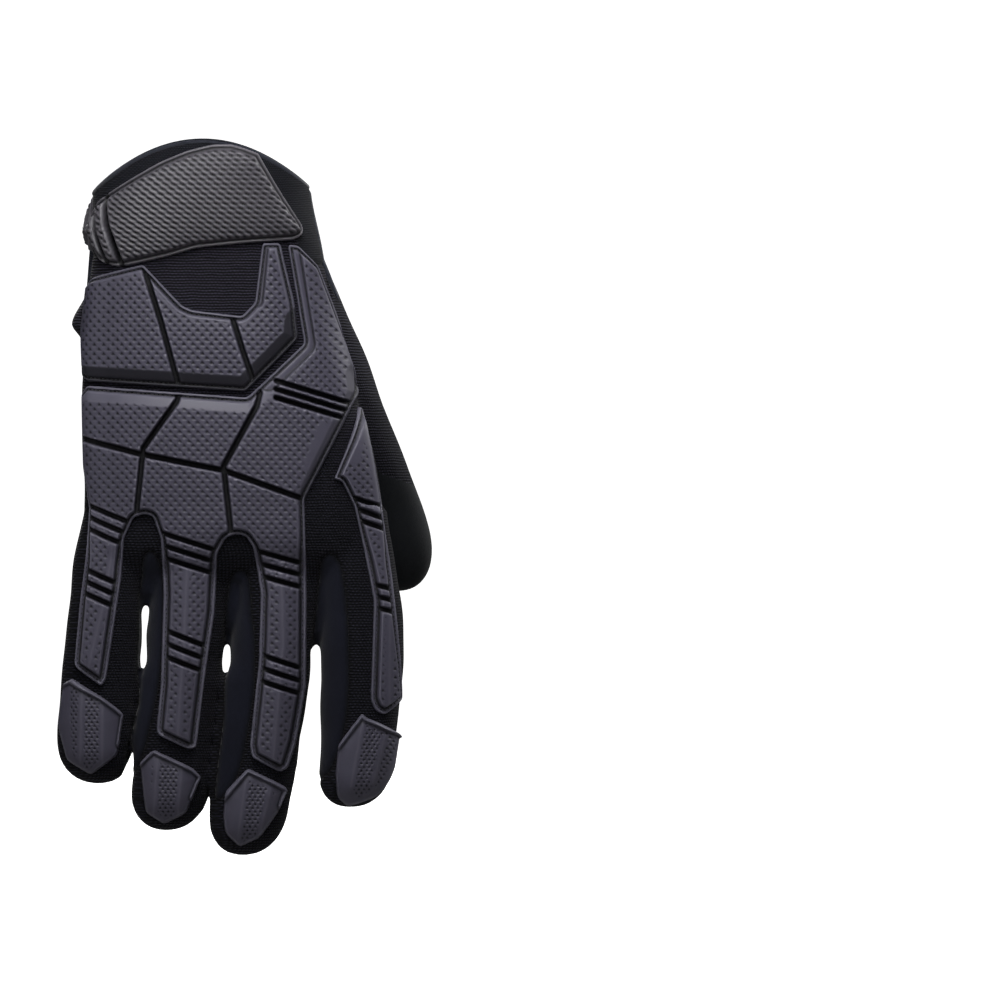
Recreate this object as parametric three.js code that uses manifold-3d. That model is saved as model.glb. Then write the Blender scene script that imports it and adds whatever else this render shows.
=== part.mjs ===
// Impact glove for the right hand, in millimetres, +Z up.
// The origin is the centre of the wrist opening. The fingers point down, the back of the
// hand faces -Y, the palm faces +Y and the thumb is at +X.
import * as THREE from "three";
import { mergeVertices } from "three/addons/utils/BufferGeometryUtils.js";
import Module from "manifold-3d";

const wasm = await Module();
wasm.setup();

// Driving sizes
const gloveLength = 250; // wrist opening to middle fingertip
const handWidth = 100; // across the knuckles
const handDepth = 40; // back to palm at the wrist
const fingerWidth = 28;
const fingerDepth = 24;
const thumbWidth = 33;
const thumbDepth = 28;
const fabricWall = 2; // knit, leather and stretch cuff
const seamGap = 0.3; // between neighbouring pieces
const rimRise = 4.2; // middle of the rim above the origin
const rimDrop = 19; // middle of the rim above its two sides
const rimHalf = 0.4 * handWidth; // from the middle of the rim to where it has dropped that far
const guardFlange = 1.7; // thin rim of a moulded guard, above the cloth
const guardHeight = 4.2; // raised panels of a moulded guard
const guardRim = 1.8; // how far the raised panels stay inside the outline
const guardReach = -0.08 * handDepth; // how far round the sides the guards come
const capFlange = 2.3;
const capHeight = 4.8; // fingertip shells
const strapHeight = 3.4;
const strapStep = 1.2; // smooth palm tab below the knurled strap
const padHeight = 2.4; // palm pads
const padReach = 0.2 * handDepth; // the pads end where the palm falls back to here
const gripHeight = 1.5;
const slotWidth = 1.5; // flex slots across the finger strips
const grooveWidth = 1.7; // grooves between the raised panels
const sideWidth = 10; // side strips between the fingers, back to palm
const loopWidth = 7.5; // pull loop across
const loopLength = 36;
const loopTape = 1.6; // thickness of the loop's tape
const loopDepth = 6; // width of the loop's tape

const palmSides = 22;
const innerPalmSides = 14;
const fingerSides = 14;
const innerFingerSides = 8;
const rimSteps = 16; // stretches of the rim's curve
const padSteps = 16; // sides of the thumb pad's outline
const loopSegments = 6;
const tipShares = [0.45, 0.76, 0.94]; // rings that round off a fingertip, along its last stretch
const tipRoundness = 2.2;
const tipFlat = 0.12; // the tip's flat end, as a share of the finger

const colours = { knit: 0x22232c, leather: 0x15181a, stretch: 0x1b1c22, rubber: 0x47464f };
const finishes = {
  knit: new THREE.MeshStandardMaterial({ color: colours.knit, roughness: 0.9, metalness: 0 }),
  leather: new THREE.MeshStandardMaterial({ color: colours.leather, roughness: 0.8, metalness: 0 }),
  stretch: new THREE.MeshStandardMaterial({ color: colours.stretch, roughness: 0.85, metalness: 0 }),
  rubber: new THREE.MeshStandardMaterial({ color: colours.rubber, roughness: 0.6, metalness: 0 }),
};

// Sections of the cuff and palm. down is a share of gloveLength, left and right are shares
// of handWidth, back and front are shares of handDepth.
const palmRows = [
  { down: -0.04, left: -0.38, right: 0.36, back: 0.53, front: 0.53 },
  { down: 0.07, left: -0.392, right: 0.372, back: 0.53, front: 0.53 },
  { down: 0.13, left: -0.392, right: 0.405, back: 0.51, front: 0.53 },
  { down: 0.19, left: -0.4, right: 0.435, back: 0.5, front: 0.54 },
  { down: 0.26, left: -0.412, right: 0.475, back: 0.49, front: 0.54 },
  { down: 0.34, left: -0.415, right: 0.53, back: 0.475, front: 0.51 },
  { down: 0.42, left: -0.41, right: 0.59, back: 0.455, front: 0.46 },
  { down: 0.49, left: -0.41, right: 0.62, back: 0.425, front: 0.4 },
  { down: 0.56, left: -0.43, right: 0.64, back: 0.36, front: 0.33 },
  { down: 0.6, left: -0.44, right: 0.65, back: 0.2, front: 0.18 },
];
const palmSquareness = 2.6;
const fingerSquareness = 2.3;

// Stations of each finger. across is a share of handWidth and down of gloveLength. wide is
// a share of the finger's width, deep and forward are shares of its depth. The last row is
// the tip, and the finger rounds off from the row before it.
const fingers = {
  little: [
    { across: -0.32, down: 0.54, wide: 0.88, deep: 0.88, forward: 0 },
    { across: -0.34, down: 0.64, wide: 0.97, deep: 0.9, forward: 0 },
    { across: -0.357, down: 0.71, wide: 0.98, deep: 0.88, forward: 0.02 },
    { across: -0.385, down: 0.835, wide: 0.92, deep: 0.82, forward: 0.1 },
    { across: -0.372, down: 0.885, wide: 0, deep: 0, forward: 0.16 },
  ],
  ring: [
    { across: -0.055, down: 0.56, wide: 0.96, deep: 0.96, forward: 0 },
    { across: -0.062, down: 0.68, wide: 0.99, deep: 0.96, forward: 0 },
    { across: -0.096, down: 0.77, wide: 0.98, deep: 0.93, forward: 0.04 },
    { across: -0.124, down: 0.89, wide: 0.95, deep: 0.86, forward: 0.12 },
    { across: -0.133, down: 0.951, wide: 0, deep: 0, forward: 0.18 },
  ],
  middle: [
    { across: 0.25, down: 0.57, wide: 1, deep: 1, forward: 0 },
    { across: 0.24, down: 0.69, wide: 1.06, deep: 1, forward: 0 },
    { across: 0.196, down: 0.8, wide: 1.09, deep: 0.96, forward: 0.04 },
    { across: 0.155, down: 0.92, wide: 1, deep: 0.88, forward: 0.12 },
    { across: 0.132, down: 0.986, wide: 0, deep: 0, forward: 0.18 },
  ],
  index: [
    { across: 0.525, down: 0.56, wide: 0.96, deep: 0.96, forward: 0 },
    { across: 0.55, down: 0.66, wide: 1.05, deep: 0.98, forward: 0 },
    { across: 0.547, down: 0.75, wide: 1.02, deep: 0.94, forward: 0.04 },
    { across: 0.526, down: 0.868, wide: 0.89, deep: 0.86, forward: 0.12 },
    { across: 0.512, down: 0.919, wide: 0, deep: 0, forward: 0.18 },
  ],
};
const fingerNames = Object.keys(fingers);

// Stations of the thumb, in the same columns with the thumb's own width and depth.
const thumbRows = [
  { across: 0.2, down: 0.13, wide: 1.16, deep: 1.1, forward: 0.12 },
  { across: 0.265, down: 0.2, wide: 1.24, deep: 1.2, forward: 0.26 },
  { across: 0.35, down: 0.275, wide: 1.22, deep: 1.18, forward: 0.44 },
  { across: 0.44, down: 0.355, wide: 1.12, deep: 1.1, forward: 0.64 },
  { across: 0.535, down: 0.445, wide: 1.08, deep: 1, forward: 0.88 },
  { across: 0.62, down: 0.53, wide: 1, deep: 0.94, forward: 1.08 },
  { across: 0.665, down: 0.617, wide: 0, deep: 0, forward: 1.18 },
];

// Outlines on the back of the hand: pairs of across (share of handWidth) and down (share
// of gloveLength).
const handGuardOutline = [
  [-0.5, 0.17], [-0.389, 0.176], [-0.207, 0.16], [-0.07, 0.218], [-0.035, 0.224],
  [0.137, 0.232], [0.182, 0.213], [0.207, 0.13], [0.27, 0.13], [0.319, 0.213],
  [0.333, 0.263], [0.151, 0.337], [-0.424, 0.322], [-0.5, 0.32],
];
const handGuardGrooves = [
  [[-0.21, 0.15], [-0.095, 0.345]],
  [[0.105, 0.22], [0.18, 0.34]],
];
const knuckleGuardOutline = [
  [0.295, 0.132], [0.333, 0.133], [0.378, 0.148], [0.413, 0.162], [0.539, 0.308],
  [0.543, 0.339], [0.354, 0.486], [0.36, 0.619], [0.357, 0.748], [0.322, 0.827],
  [0.294, 0.862], [0.266, 0.868], [0.168, 0.847], [0.161, 0.83], [0.193, 0.715],
  [0.2, 0.619], [0.175, 0.554], [0.15, 0.538], [0.116, 0.535], [0.08, 0.54],
  [0.049, 0.563], [0.039, 0.645], [0.01, 0.722], [-0.025, 0.834], [-0.053, 0.836],
  [-0.158, 0.816], [-0.165, 0.808], [-0.15, 0.749], [-0.14, 0.619], [-0.147, 0.542],
  [-0.175, 0.51], [-0.207, 0.507], [-0.242, 0.512], [-0.277, 0.542], [-0.287, 0.599],
  [-0.34, 0.738], [-0.357, 0.748], [-0.455, 0.722], [-0.462, 0.715], [-0.4, 0.5],
  [-0.5, 0.44], [-0.5, 0.33], [-0.424, 0.333], [0.155, 0.346], [0.352, 0.27],
];
const knuckleGuardGrooves = [
  [[-0.5, 0.4], [-0.228, 0.423], [0.074, 0.447], [0.4, 0.5]],
  [[-0.091, 0.33], [-0.207, 0.416], [-0.228, 0.52]],
  [[0.189, 0.34], [0.074, 0.441], [0.098, 0.55]],
];
// Flex slots: the two ends of the first slot, how many follow it and how far apart, as a
// share of gloveLength.
const knuckleGuardSlots = [
  { from: [0.27, 0.325], to: [0.55, 0.352], count: 3, pitch: 0.011 },
  { from: [-0.4, 0.495], to: [-0.26, 0.517], count: 3, pitch: 0.014 },
  { from: [-0.46, 0.582], to: [-0.29, 0.606], count: 3, pitch: 0.017 },
  { from: [-0.16, 0.534], to: [0.05, 0.556], count: 3, pitch: 0.016 },
  { from: [-0.15, 0.667], to: [0.03, 0.693], count: 3, pitch: 0.018 },
  { from: [0.16, 0.555], to: [0.38, 0.576], count: 3, pitch: 0.017 },
  { from: [0.19, 0.701], to: [0.37, 0.724], count: 3, pitch: 0.017 },
];
const indexGuardOutline = [
  [0.57, 0.357], [0.455, 0.459], [0.483, 0.461], [0.529, 0.498], [0.56, 0.553],
  [0.599, 0.63], [0.588, 0.766], [0.606, 0.781], [0.644, 0.788], [0.676, 0.781],
  [0.76, 0.766], [0.76, 0.36],
];
const indexGuardSlots = [
  { from: [0.5, 0.482], to: [0.68, 0.506], count: 3, pitch: 0.014 },
  { from: [0.56, 0.604], to: [0.74, 0.617], count: 3, pitch: 0.016 },
];
const capOutlines = {
  little: [
    [-0.55, 0.735], [-0.469, 0.738], [-0.357, 0.762], [-0.277, 0.787], [-0.301, 0.843],
    [-0.395, 0.872], [-0.483, 0.851], [-0.55, 0.8],
  ],
  ring: [
    [-0.228, 0.855], [-0.175, 0.836], [-0.039, 0.862], [-0.004, 0.874], [-0.063, 0.925],
    [-0.14, 0.941], [-0.203, 0.925], [-0.221, 0.865],
  ],
  middle: [
    [0.074, 0.896], [0.154, 0.862], [0.298, 0.89], [0.266, 0.92], [0.196, 0.959],
    [0.123, 0.973], [0.074, 0.953], [0.067, 0.928],
  ],
  index: [
    [0.469, 0.83], [0.553, 0.785], [0.567, 0.791], [0.74, 0.816], [0.68, 0.86],
    [0.602, 0.904], [0.501, 0.917], [0.466, 0.904], [0.459, 0.872],
  ],
};

// The strap's outline on the back and on the palm, in the same pairs.
const strapBackOutline = [
  [-0.5, 0.075], [-0.389, 0.071], [-0.305, 0.05], [-0.147, 0.017], [-0.049, 0.001],
  [0.039, -0.007], [0.158, -0.007], [0.189, 0], [0.347, 0.105], [0.34, 0.12],
  [0.158, 0.127], [-0.021, 0.134], [-0.13, 0.147], [-0.228, 0.158], [-0.305, 0.164],
  [-0.375, 0.157], [-0.41, 0.135], [-0.44, 0.115], [-0.5, 0.112],
];
const strapPalmOutline = [
  [0.36, 0.06], [0.357, 0.017], [0.315, 0.006], [0.08, 0], [-0.119, 0], [-0.16, 0.003],
  [-0.308, 0.02], [-0.368, 0.037], [-0.5, 0.075], [-0.5, 0.112], [-0.375, 0.108],
  [-0.28, 0.085], [-0.193, 0.073], [-0.088, 0.125], [-0.046, 0.125], [0.147, 0.095],
  [0.343, 0.072],
];
const strapTabOutline = [
  [-0.193, 0.073], [-0.16, 0.035], [-0.04, 0.033], [0.06, 0.03], [0.345, 0.02],
  [0.343, 0.072], [0.147, 0.095], [-0.046, 0.125], [-0.088, 0.125],
];

// Pads on the palm as round-cornered outlines in the same pairs.
const thenarPad = { across: 0.13, down: 0.305, halfWidth: 0.2, halfHeight: 0.14, lean: -0.06 };
const heelPadOutline = [
  [-0.22, 0.165], [-0.3, 0.168], [-0.33, 0.27], [-0.36, 0.3], [-0.5, 0.34], [-0.5, 0.42],
  [-0.33, 0.436], [-0.2, 0.4],
  [-0.145, 0.352], [-0.16, 0.25],
];
const gripPatchOutline = [
  [0.633, 0.491], [0.535, 0.468], [0.434, 0.456], [0.343, 0.468], [0.284, 0.494],
  [0.218, 0.508], [0.11, 0.51], [-0.033, 0.503], [-0.183, 0.492], [-0.284, 0.474],
  [-0.35, 0.468], [-0.42, 0.494], [-0.437, 0.538], [-0.402, 0.582], [-0.357, 0.591],
  [-0.298, 0.58], [-0.221, 0.571], [-0.169, 0.581], [-0.123, 0.598], [-0.071, 0.613],
  [-0.019, 0.61], [0.044, 0.601], [0.096, 0.599], [0.155, 0.613], [0.232, 0.619],
  [0.308, 0.613], [0.382, 0.602], [0.459, 0.61], [0.535, 0.626], [0.601, 0.622],
  [0.636, 0.603],
];

const seamDown = 0.152; // seam between cuff and hand, as a share of gloveLength
const sideSeam = 0.06; // seam between back and palm, as a share of handDepth toward the palm
const crotchDown = 0.555; // top of the side strips, as a share of gloveLength
const sideEnd = 0.12; // end of the side strips, as a share of the rounded fingertip
const loopRoot = { across: -0.355, down: 0.12, forward: 0.27 }; // forward is a share of handDepth
const loopTip = { across: -0.385, down: 0.256, forward: 0.25 };
const loopFacing = 40; // degrees from the palm's face round to the outer edge
const far = 3 * gloveLength;

// Closed solid from a three.js geometry
function toSolid(geometry) {
  geometry.deleteAttribute("normal");
  geometry.deleteAttribute("uv");
  const merged = mergeVertices(geometry, 1e-4);
  const vertProperties = new Float32Array(merged.attributes.position.array);
  const triVerts = new Uint32Array(merged.index.array);
  return new wasm.Manifold(new wasm.Mesh({ numProp: 3, vertProperties, triVerts }));
}

function toMesh(solid, name, material) {
  const { vertProperties, triVerts } = solid.getMesh();
  const geometry = new THREE.BufferGeometry();
  geometry.setAttribute("position", new THREE.BufferAttribute(new Float32Array(vertProperties), 3));
  geometry.setIndex(new THREE.BufferAttribute(new Uint32Array(triVerts), 1));
  geometry.computeVertexNormals();
  const mesh = new THREE.Mesh(geometry, material);
  mesh.name = name;
  return mesh;
}

const place = ([across, down]) => new THREE.Vector2(across * handWidth, -down * gloveLength);

// Superellipse: the signed power of a cosine or sine
const bulge = (value, squareness) => Math.sign(value) * Math.abs(value) ** (2 / squareness);

// A sphere whose rings are moved to the sections and whose poles are the two end centres
function loft(sections, sides, squareness) {
  const geometry = new THREE.SphereGeometry(1, sides, sections.length + 1);
  const position = geometry.attributes.position;
  const last = sections.length + 1;
  for (let ring = 0; ring <= last; ring += 1) {
    const pole = ring === 0 || ring === last;
    const section = sections[Math.min(Math.max(ring - 1, 0), sections.length - 1)];
    for (let side = 0; side <= sides; side += 1) {
      const turn = ((side % sides) * 2 * Math.PI) / sides;
      const out = bulge(-Math.cos(turn), squareness);
      const deep = bulge(-Math.sin(turn), squareness);
      const reach = deep < 0 ? section.back : section.front;
      const x = section.x + (pole ? 0 : out * section.half);
      const y = section.y + (pole ? 0 : deep * reach);
      position.setXYZ(ring * (sides + 1) + side, x, y, section.z);
    }
  }
  return toSolid(geometry);
}

function palmSections(grow) {
  return palmRows.map((row, index) => ({
    x: ((row.left + row.right) / 2) * handWidth,
    y: 0,
    z: -row.down * gloveLength - (index === palmRows.length - 1 ? grow : 0),
    half: ((row.right - row.left) / 2) * handWidth + grow,
    back: row.back * handDepth + grow,
    front: row.front * handDepth + grow,
  }));
}

// Digit sections: the rows as they are, then rings that round off to the tip
function digitSections(rows, width, depth, grow) {
  const sections = rows.slice(0, -1).map((row) => ({
    x: row.across * handWidth,
    y: row.forward * depth,
    z: -row.down * gloveLength,
    half: (row.wide * width) / 2 + grow,
    back: (row.deep * depth) / 2 + grow,
    front: (row.deep * depth) / 2 + grow,
  }));
  const start = sections[sections.length - 1];
  const tip = rows[rows.length - 1];
  const end = { x: tip.across * handWidth, y: tip.forward * depth, z: -tip.down * gloveLength - grow };
  for (const share of tipShares) {
    const round = (1 - share ** tipRoundness) ** (1 / tipRoundness);
    sections.push({
      x: start.x + (end.x - start.x) * share,
      y: start.y + (end.y - start.y) * share,
      z: start.z + (end.z - start.z) * share,
      half: start.half * round,
      back: start.back * round,
      front: start.front * round,
    });
  }
  sections.push({
    ...end,
    half: tipFlat * start.half,
    back: tipFlat * start.back,
    front: tipFlat * start.front,
  });
  return sections;
}

const palmSolid = (grow, sides) => loft(palmSections(grow), sides, palmSquareness);

function fingerSolid(name, grow, sides) {
  return loft(digitSections(fingers[name], fingerWidth, fingerDepth, grow), sides, fingerSquareness);
}

function thumbSolid(grow, sides) {
  return loft(digitSections(thumbRows, thumbWidth, thumbDepth, grow), sides, fingerSquareness);
}

function joined(solids) {
  return solids.reduce((whole, solid) => whole.add(solid));
}

// Palm and fingers grown by a thickness, the ground that every guard and pad lies on
function handSolid(grow, names) {
  return joined([palmSolid(grow, palmSides), ...names.map((name) => fingerSolid(name, grow, fingerSides))]);
}

// Prism over an outline in the X-Z plane, from yFrom to yTo
function prism(outline, yFrom, yTo) {
  const shape = new THREE.Shape(outline);
  const geometry = new THREE.ExtrudeGeometry(shape, { depth: yTo - yFrom, bevelEnabled: false });
  geometry.rotateX(Math.PI / 2);
  geometry.translate(0, yTo, 0);
  return toSolid(geometry);
}

// Outline moved inward by a distance, corner by corner along the bisectors
function inset(outline, distance) {
  const turn = THREE.ShapeUtils.isClockWise(outline) ? -1 : 1;
  return outline.map((corner, index) => {
    const before = outline[(index + outline.length - 1) % outline.length];
    const after = outline[(index + 1) % outline.length];
    const first = corner.clone().sub(before).normalize();
    const second = after.clone().sub(corner).normalize();
    const inward = new THREE.Vector2(-first.y - second.y, first.x + second.x).multiplyScalar(turn);
    const length = Math.max(inward.length(), 0.5);
    return corner.clone().add(inward.multiplyScalar((2 * distance) / (length * length)));
  });
}

// Narrow strips along a polyline, one prism for each stretch
function groove(points, width, yFrom, yTo) {
  const strips = [];
  for (let index = 1; index < points.length; index += 1) {
    const from = points[index - 1];
    const to = points[index];
    const along = to.clone().sub(from).normalize().multiplyScalar(width / 2);
    const aside = new THREE.Vector2(-along.y, along.x);
    const start = from.clone().sub(along);
    const end = to.clone().add(along);
    const corners = [
      start.clone().add(aside),
      end.clone().add(aside),
      end.clone().sub(aside),
      start.clone().sub(aside),
    ];
    strips.push(prism(corners, yFrom, yTo));
  }
  return joined(strips);
}

function slotLines(slots) {
  const lines = [];
  for (const { from, to, count, pitch } of slots) {
    for (let index = 0; index < count; index += 1) {
      const drop = index * pitch;
      lines.push([[from[0], from[1] + drop], [to[0], to[1] + drop]]);
    }
  }
  return lines;
}

// Moulded guard on the back: a thin flange with raised panels, cut by grooves and slots
function guard(outline, ground, heights, grooves, slots) {
  const corners = outline.map(place);
  const flange = prism(corners, -far, guardReach).intersect(ground(heights.flange));
  let panels = prism(inset(corners, guardRim), -far, guardReach).intersect(ground(heights.panel));
  for (const line of grooves) {
    panels = panels.subtract(groove(line.map(place), grooveWidth, -far, far));
  }
  for (const line of slots) {
    panels = panels.subtract(groove(line.map(place), slotWidth, -far, far));
  }
  return flange.add(panels).subtract(ground(seamGap));
}

// Everything above the rim's curve
function mouthCutter() {
  const reach = handWidth / 2;
  const rim = [];
  for (let step = 0; step <= rimSteps; step += 1) {
    const across = (2 * step / rimSteps - 1) * reach;
    rim.push(new THREE.Vector2(across, rimRise - rimDrop * (across / rimHalf) ** 2));
  }
  rim.push(new THREE.Vector2(reach, far), new THREE.Vector2(-reach, far));
  return prism(rim, -far, far);
}

function block(low, high) {
  const geometry = new THREE.BoxGeometry(high[0] - low[0], high[1] - low[1], high[2] - low[2]);
  geometry.translate((low[0] + high[0]) / 2, (low[1] + high[1]) / 2, (low[2] + high[2]) / 2);
  return toSolid(geometry);
}

// Everything on the palm side of the seam: in front of a plane on the hand, and in front
// of the thumb's own middle on the thumb
function palmSide(shift) {
  const plane = block([-far, sideSeam * handDepth + shift, -far], [far, far, far]);
  const sleeve = thumbSolid(fabricWall + shift, fingerSides);
  const middle = thumbRows.map((row) => new THREE.Vector2(
    row.forward * thumbDepth + shift,
    -row.down * gloveLength,
  ));
  const first = middle[0];
  const last = middle[middle.length - 1];
  const corners = [
    new THREE.Vector2(first.x, far),
    ...middle,
    new THREE.Vector2(last.x, -far),
    new THREE.Vector2(far, -far),
    new THREE.Vector2(far, far),
  ];
  const shape = new THREE.Shape(corners);
  const geometry = new THREE.ExtrudeGeometry(shape, { depth: 2 * far, bevelEnabled: false });
  geometry.rotateX(Math.PI / 2);
  geometry.rotateZ(Math.PI / 2);
  geometry.translate(-far, 0, 0);
  const front = toSolid(geometry);
  return plane.subtract(sleeve).add(sleeve.intersect(front));
}

// Point on a finger's middle line at a share of gloveLength
function fingerMiddle(name, down) {
  const rows = fingers[name];
  let after = rows.findIndex((row) => row.down > down);
  after = Math.max(after, 1);
  const low = rows[after - 1];
  const high = rows[after];
  const share = (down - low.down) / (high.down - low.down);
  return new THREE.Vector2(
    (low.across + (high.across - low.across) * share) * handWidth,
    -down * gloveLength,
  );
}

// Space between two fingers that a side strip fills, from middle line to middle line
function sideRegion(first, second, grow) {
  const top = crotchDown - grow / gloveLength;
  const corners = [];
  const lines = [first, second].map((name) => {
    const rows = fingers[name];
    const start = rows[rows.length - 2].down;
    const end = start + sideEnd * (rows[rows.length - 1].down - start) + grow / gloveLength;
    return [top, rows[1].down, rows[2].down, end].map((down) => fingerMiddle(name, down));
  });
  corners.push(...lines[0], ...lines[1].reverse());
  const middle = sideSeam * handDepth;
  return prism(corners, middle - sideWidth / 2 - grow, middle + sideWidth / 2 + grow);
}

const outer = joined([
  palmSolid(0, palmSides),
  thumbSolid(0, fingerSides),
  ...fingerNames.map((name) => fingerSolid(name, 0, fingerSides)),
]);
const inner = joined([
  palmSolid(-fabricWall, innerPalmSides),
  thumbSolid(-fabricWall, innerFingerSides),
  ...fingerNames.map((name) => fingerSolid(name, -fabricWall, innerFingerSides)),
]);
const shell = outer.subtract(inner).subtract(mouthCutter());

const seamZ = -seamDown * gloveLength;
const aboveSeam = block([-far, -far, seamZ + seamGap / 2], [far, far, far]);
const belowSeam = block([-far, -far, -far], [far, far, seamZ - seamGap / 2]);
const handShell = shell.intersect(belowSeam);
const pairs = [["little", "ring"], ["ring", "middle"], ["middle", "index"]];
const sideRegions = joined(pairs.map(([first, second]) => sideRegion(first, second, seamGap)));
const bodyShell = handShell.subtract(sideRegions);

const groundOf = (names) => (grow) => handSolid(grow, names);
const fingersAll = groundOf(fingerNames);
const heights = { flange: guardFlange, panel: guardHeight };
const capHeights = { flange: capFlange, panel: capHeight };

const handGuard = guard(handGuardOutline, fingersAll, heights, handGuardGrooves, []);
const knuckleGuard = guard(
  knuckleGuardOutline,
  fingersAll,
  heights,
  knuckleGuardGrooves,
  slotLines(knuckleGuardSlots),
);
const indexGuard = guard(
  indexGuardOutline,
  groundOf(["index"]),
  heights,
  [],
  slotLines(indexGuardSlots),
);

function cap(name) {
  const ground = (grow) => fingerSolid(name, grow, fingerSides);
  return guard(capOutlines[name], ground, capHeights, [], []);
}

function strap() {
  const ground = (grow) => palmSolid(grow, palmSides);
  const back = prism(strapBackOutline.map(place), -far, 0);
  const palm = prism(strapPalmOutline.map(place), -0.01, far);
  const tab = prism(strapTabOutline.map(place), 0, far).subtract(ground(strapHeight - strapStep));
  return back.add(palm).intersect(ground(strapHeight)).subtract(tab).subtract(ground(seamGap));
}

// Pad on the palm: an outline carried onto the ground that it is sewn to
function pad(outline, ground, height) {
  return prism(outline, padReach, far).intersect(ground(height)).subtract(ground(seamGap));
}

const palmAndThumb = (grow) => handSolid(grow, fingerNames).add(thumbSolid(grow, fingerSides));

function thenarOutline() {
  const { across, down, halfWidth, halfHeight, lean } = thenarPad;
  const points = [];
  for (let step = 0; step < padSteps; step += 1) {
    const turn = (step * 2 * Math.PI) / padSteps;
    const height = Math.sin(turn) * halfHeight;
    points.push(place([across + Math.cos(turn) * halfWidth + (height / halfHeight) * lean, down + height]));
  }
  return points;
}

const spot = ({ across, down, forward }) => (
  new THREE.Vector3(across * handWidth, forward * handDepth, -down * gloveLength)
);

// Tape loop: a long ring that stands on the palm's outer edge and hangs down along it
function pullLoop() {
  const radius = loopWidth / 2;
  const slot = radius - loopTape;
  const shape = new THREE.Shape();
  shape.moveTo(0, -radius);
  shape.lineTo(loopLength - radius, -radius);
  shape.absarc(loopLength - radius, 0, radius, -Math.PI / 2, Math.PI / 2, false);
  shape.lineTo(0, radius);
  const hole = new THREE.Path();
  hole.moveTo(2 * loopTape, -slot);
  hole.lineTo(loopLength - radius, -slot);
  hole.absarc(loopLength - radius, 0, slot, -Math.PI / 2, Math.PI / 2, false);
  hole.lineTo(2 * loopTape, slot);
  shape.holes.push(hole);
  const geometry = new THREE.ExtrudeGeometry(shape, {
    depth: loopDepth,
    bevelEnabled: false,
    curveSegments: loopSegments,
  });
  const root = spot(loopRoot);
  const along = spot(loopTip).sub(root).normalize();
  const turn = THREE.MathUtils.degToRad(loopFacing);
  const outward = new THREE.Vector3(-Math.sin(turn), Math.cos(turn), 0);
  const across = new THREE.Vector3().crossVectors(outward, along).normalize();
  const facing = new THREE.Vector3().crossVectors(along, across);
  geometry.applyMatrix4(new THREE.Matrix4().makeBasis(along, across, facing).setPosition(root));
  return toSolid(geometry).subtract(handSolid(seamGap, []));
}

const glove = new THREE.Group();
glove.name = "impact_glove";
glove.add(toMesh(shell.intersect(aboveSeam), "cuff_band", finishes.stretch));
glove.add(toMesh(bodyShell.subtract(palmSide(-seamGap / 2)), "back_panel", finishes.knit));
glove.add(toMesh(bodyShell.intersect(palmSide(seamGap / 2)), "palm_panel", finishes.leather));
for (const [first, second] of pairs) {
  const strip = handShell.intersect(sideRegion(first, second, 0));
  glove.add(toMesh(strip, `fourchette_${first}_${second}`, finishes.knit));
}
glove.add(toMesh(strap(), "wrist_strap", finishes.rubber));
glove.add(toMesh(pullLoop(), "pull_loop", finishes.knit));
glove.add(toMesh(handGuard, "hand_guard", finishes.rubber));
glove.add(toMesh(knuckleGuard, "knuckle_guard", finishes.rubber));
glove.add(toMesh(indexGuard, "index_guard", finishes.rubber));
for (const name of fingerNames) {
  glove.add(toMesh(cap(name), `${name}_cap`, finishes.rubber));
}
glove.add(toMesh(pad(thenarOutline(), palmAndThumb, padHeight), "thenar_pad", finishes.leather));
glove.add(toMesh(pad(heelPadOutline.map(place), fingersAll, padHeight), "heel_pad", finishes.leather));
const gripPatch = pad(gripPatchOutline.map(place), fingersAll, gripHeight);
glove.add(toMesh(gripPatch.subtract(thumbSolid(seamGap, fingerSides)), "grip_patch", finishes.leather));

export default glove;
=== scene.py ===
import math
import bmesh
import bpy
import numpy as np
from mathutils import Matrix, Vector
from mathutils.geometry import delaunay_2d_cdt


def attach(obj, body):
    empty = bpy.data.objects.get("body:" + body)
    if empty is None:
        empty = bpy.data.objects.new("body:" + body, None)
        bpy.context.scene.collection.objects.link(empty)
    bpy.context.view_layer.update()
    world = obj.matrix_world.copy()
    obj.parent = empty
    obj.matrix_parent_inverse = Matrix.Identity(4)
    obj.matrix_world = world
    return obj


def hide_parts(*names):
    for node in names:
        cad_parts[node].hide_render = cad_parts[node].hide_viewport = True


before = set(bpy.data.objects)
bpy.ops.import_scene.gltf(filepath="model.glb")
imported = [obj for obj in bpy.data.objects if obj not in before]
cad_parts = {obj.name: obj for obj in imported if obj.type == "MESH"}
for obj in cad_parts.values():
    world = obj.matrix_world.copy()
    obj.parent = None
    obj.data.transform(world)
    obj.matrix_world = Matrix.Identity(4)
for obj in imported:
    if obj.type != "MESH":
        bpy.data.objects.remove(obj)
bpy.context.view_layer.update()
print("frame loaded:", len(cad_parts), "nodes")

mm = 0.001

# sizes of the glove in millimetres, the same as the frame's
glove = {
    "length": 250.0,
    "handWidth": 100.0,
    "handDepth": 40.0,
    "fingerWidth": 28.0,
    "fingerDepth": 24.0,
    "thumbWidth": 33.0,
    "thumbDepth": 28.0,
    "rimRise": 4.2,
    "rimDrop": 19.0,
    "cuffSeam": 0.152,
    "sideSeam": 0.06,
    "clothWall": 1.7,
}

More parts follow.
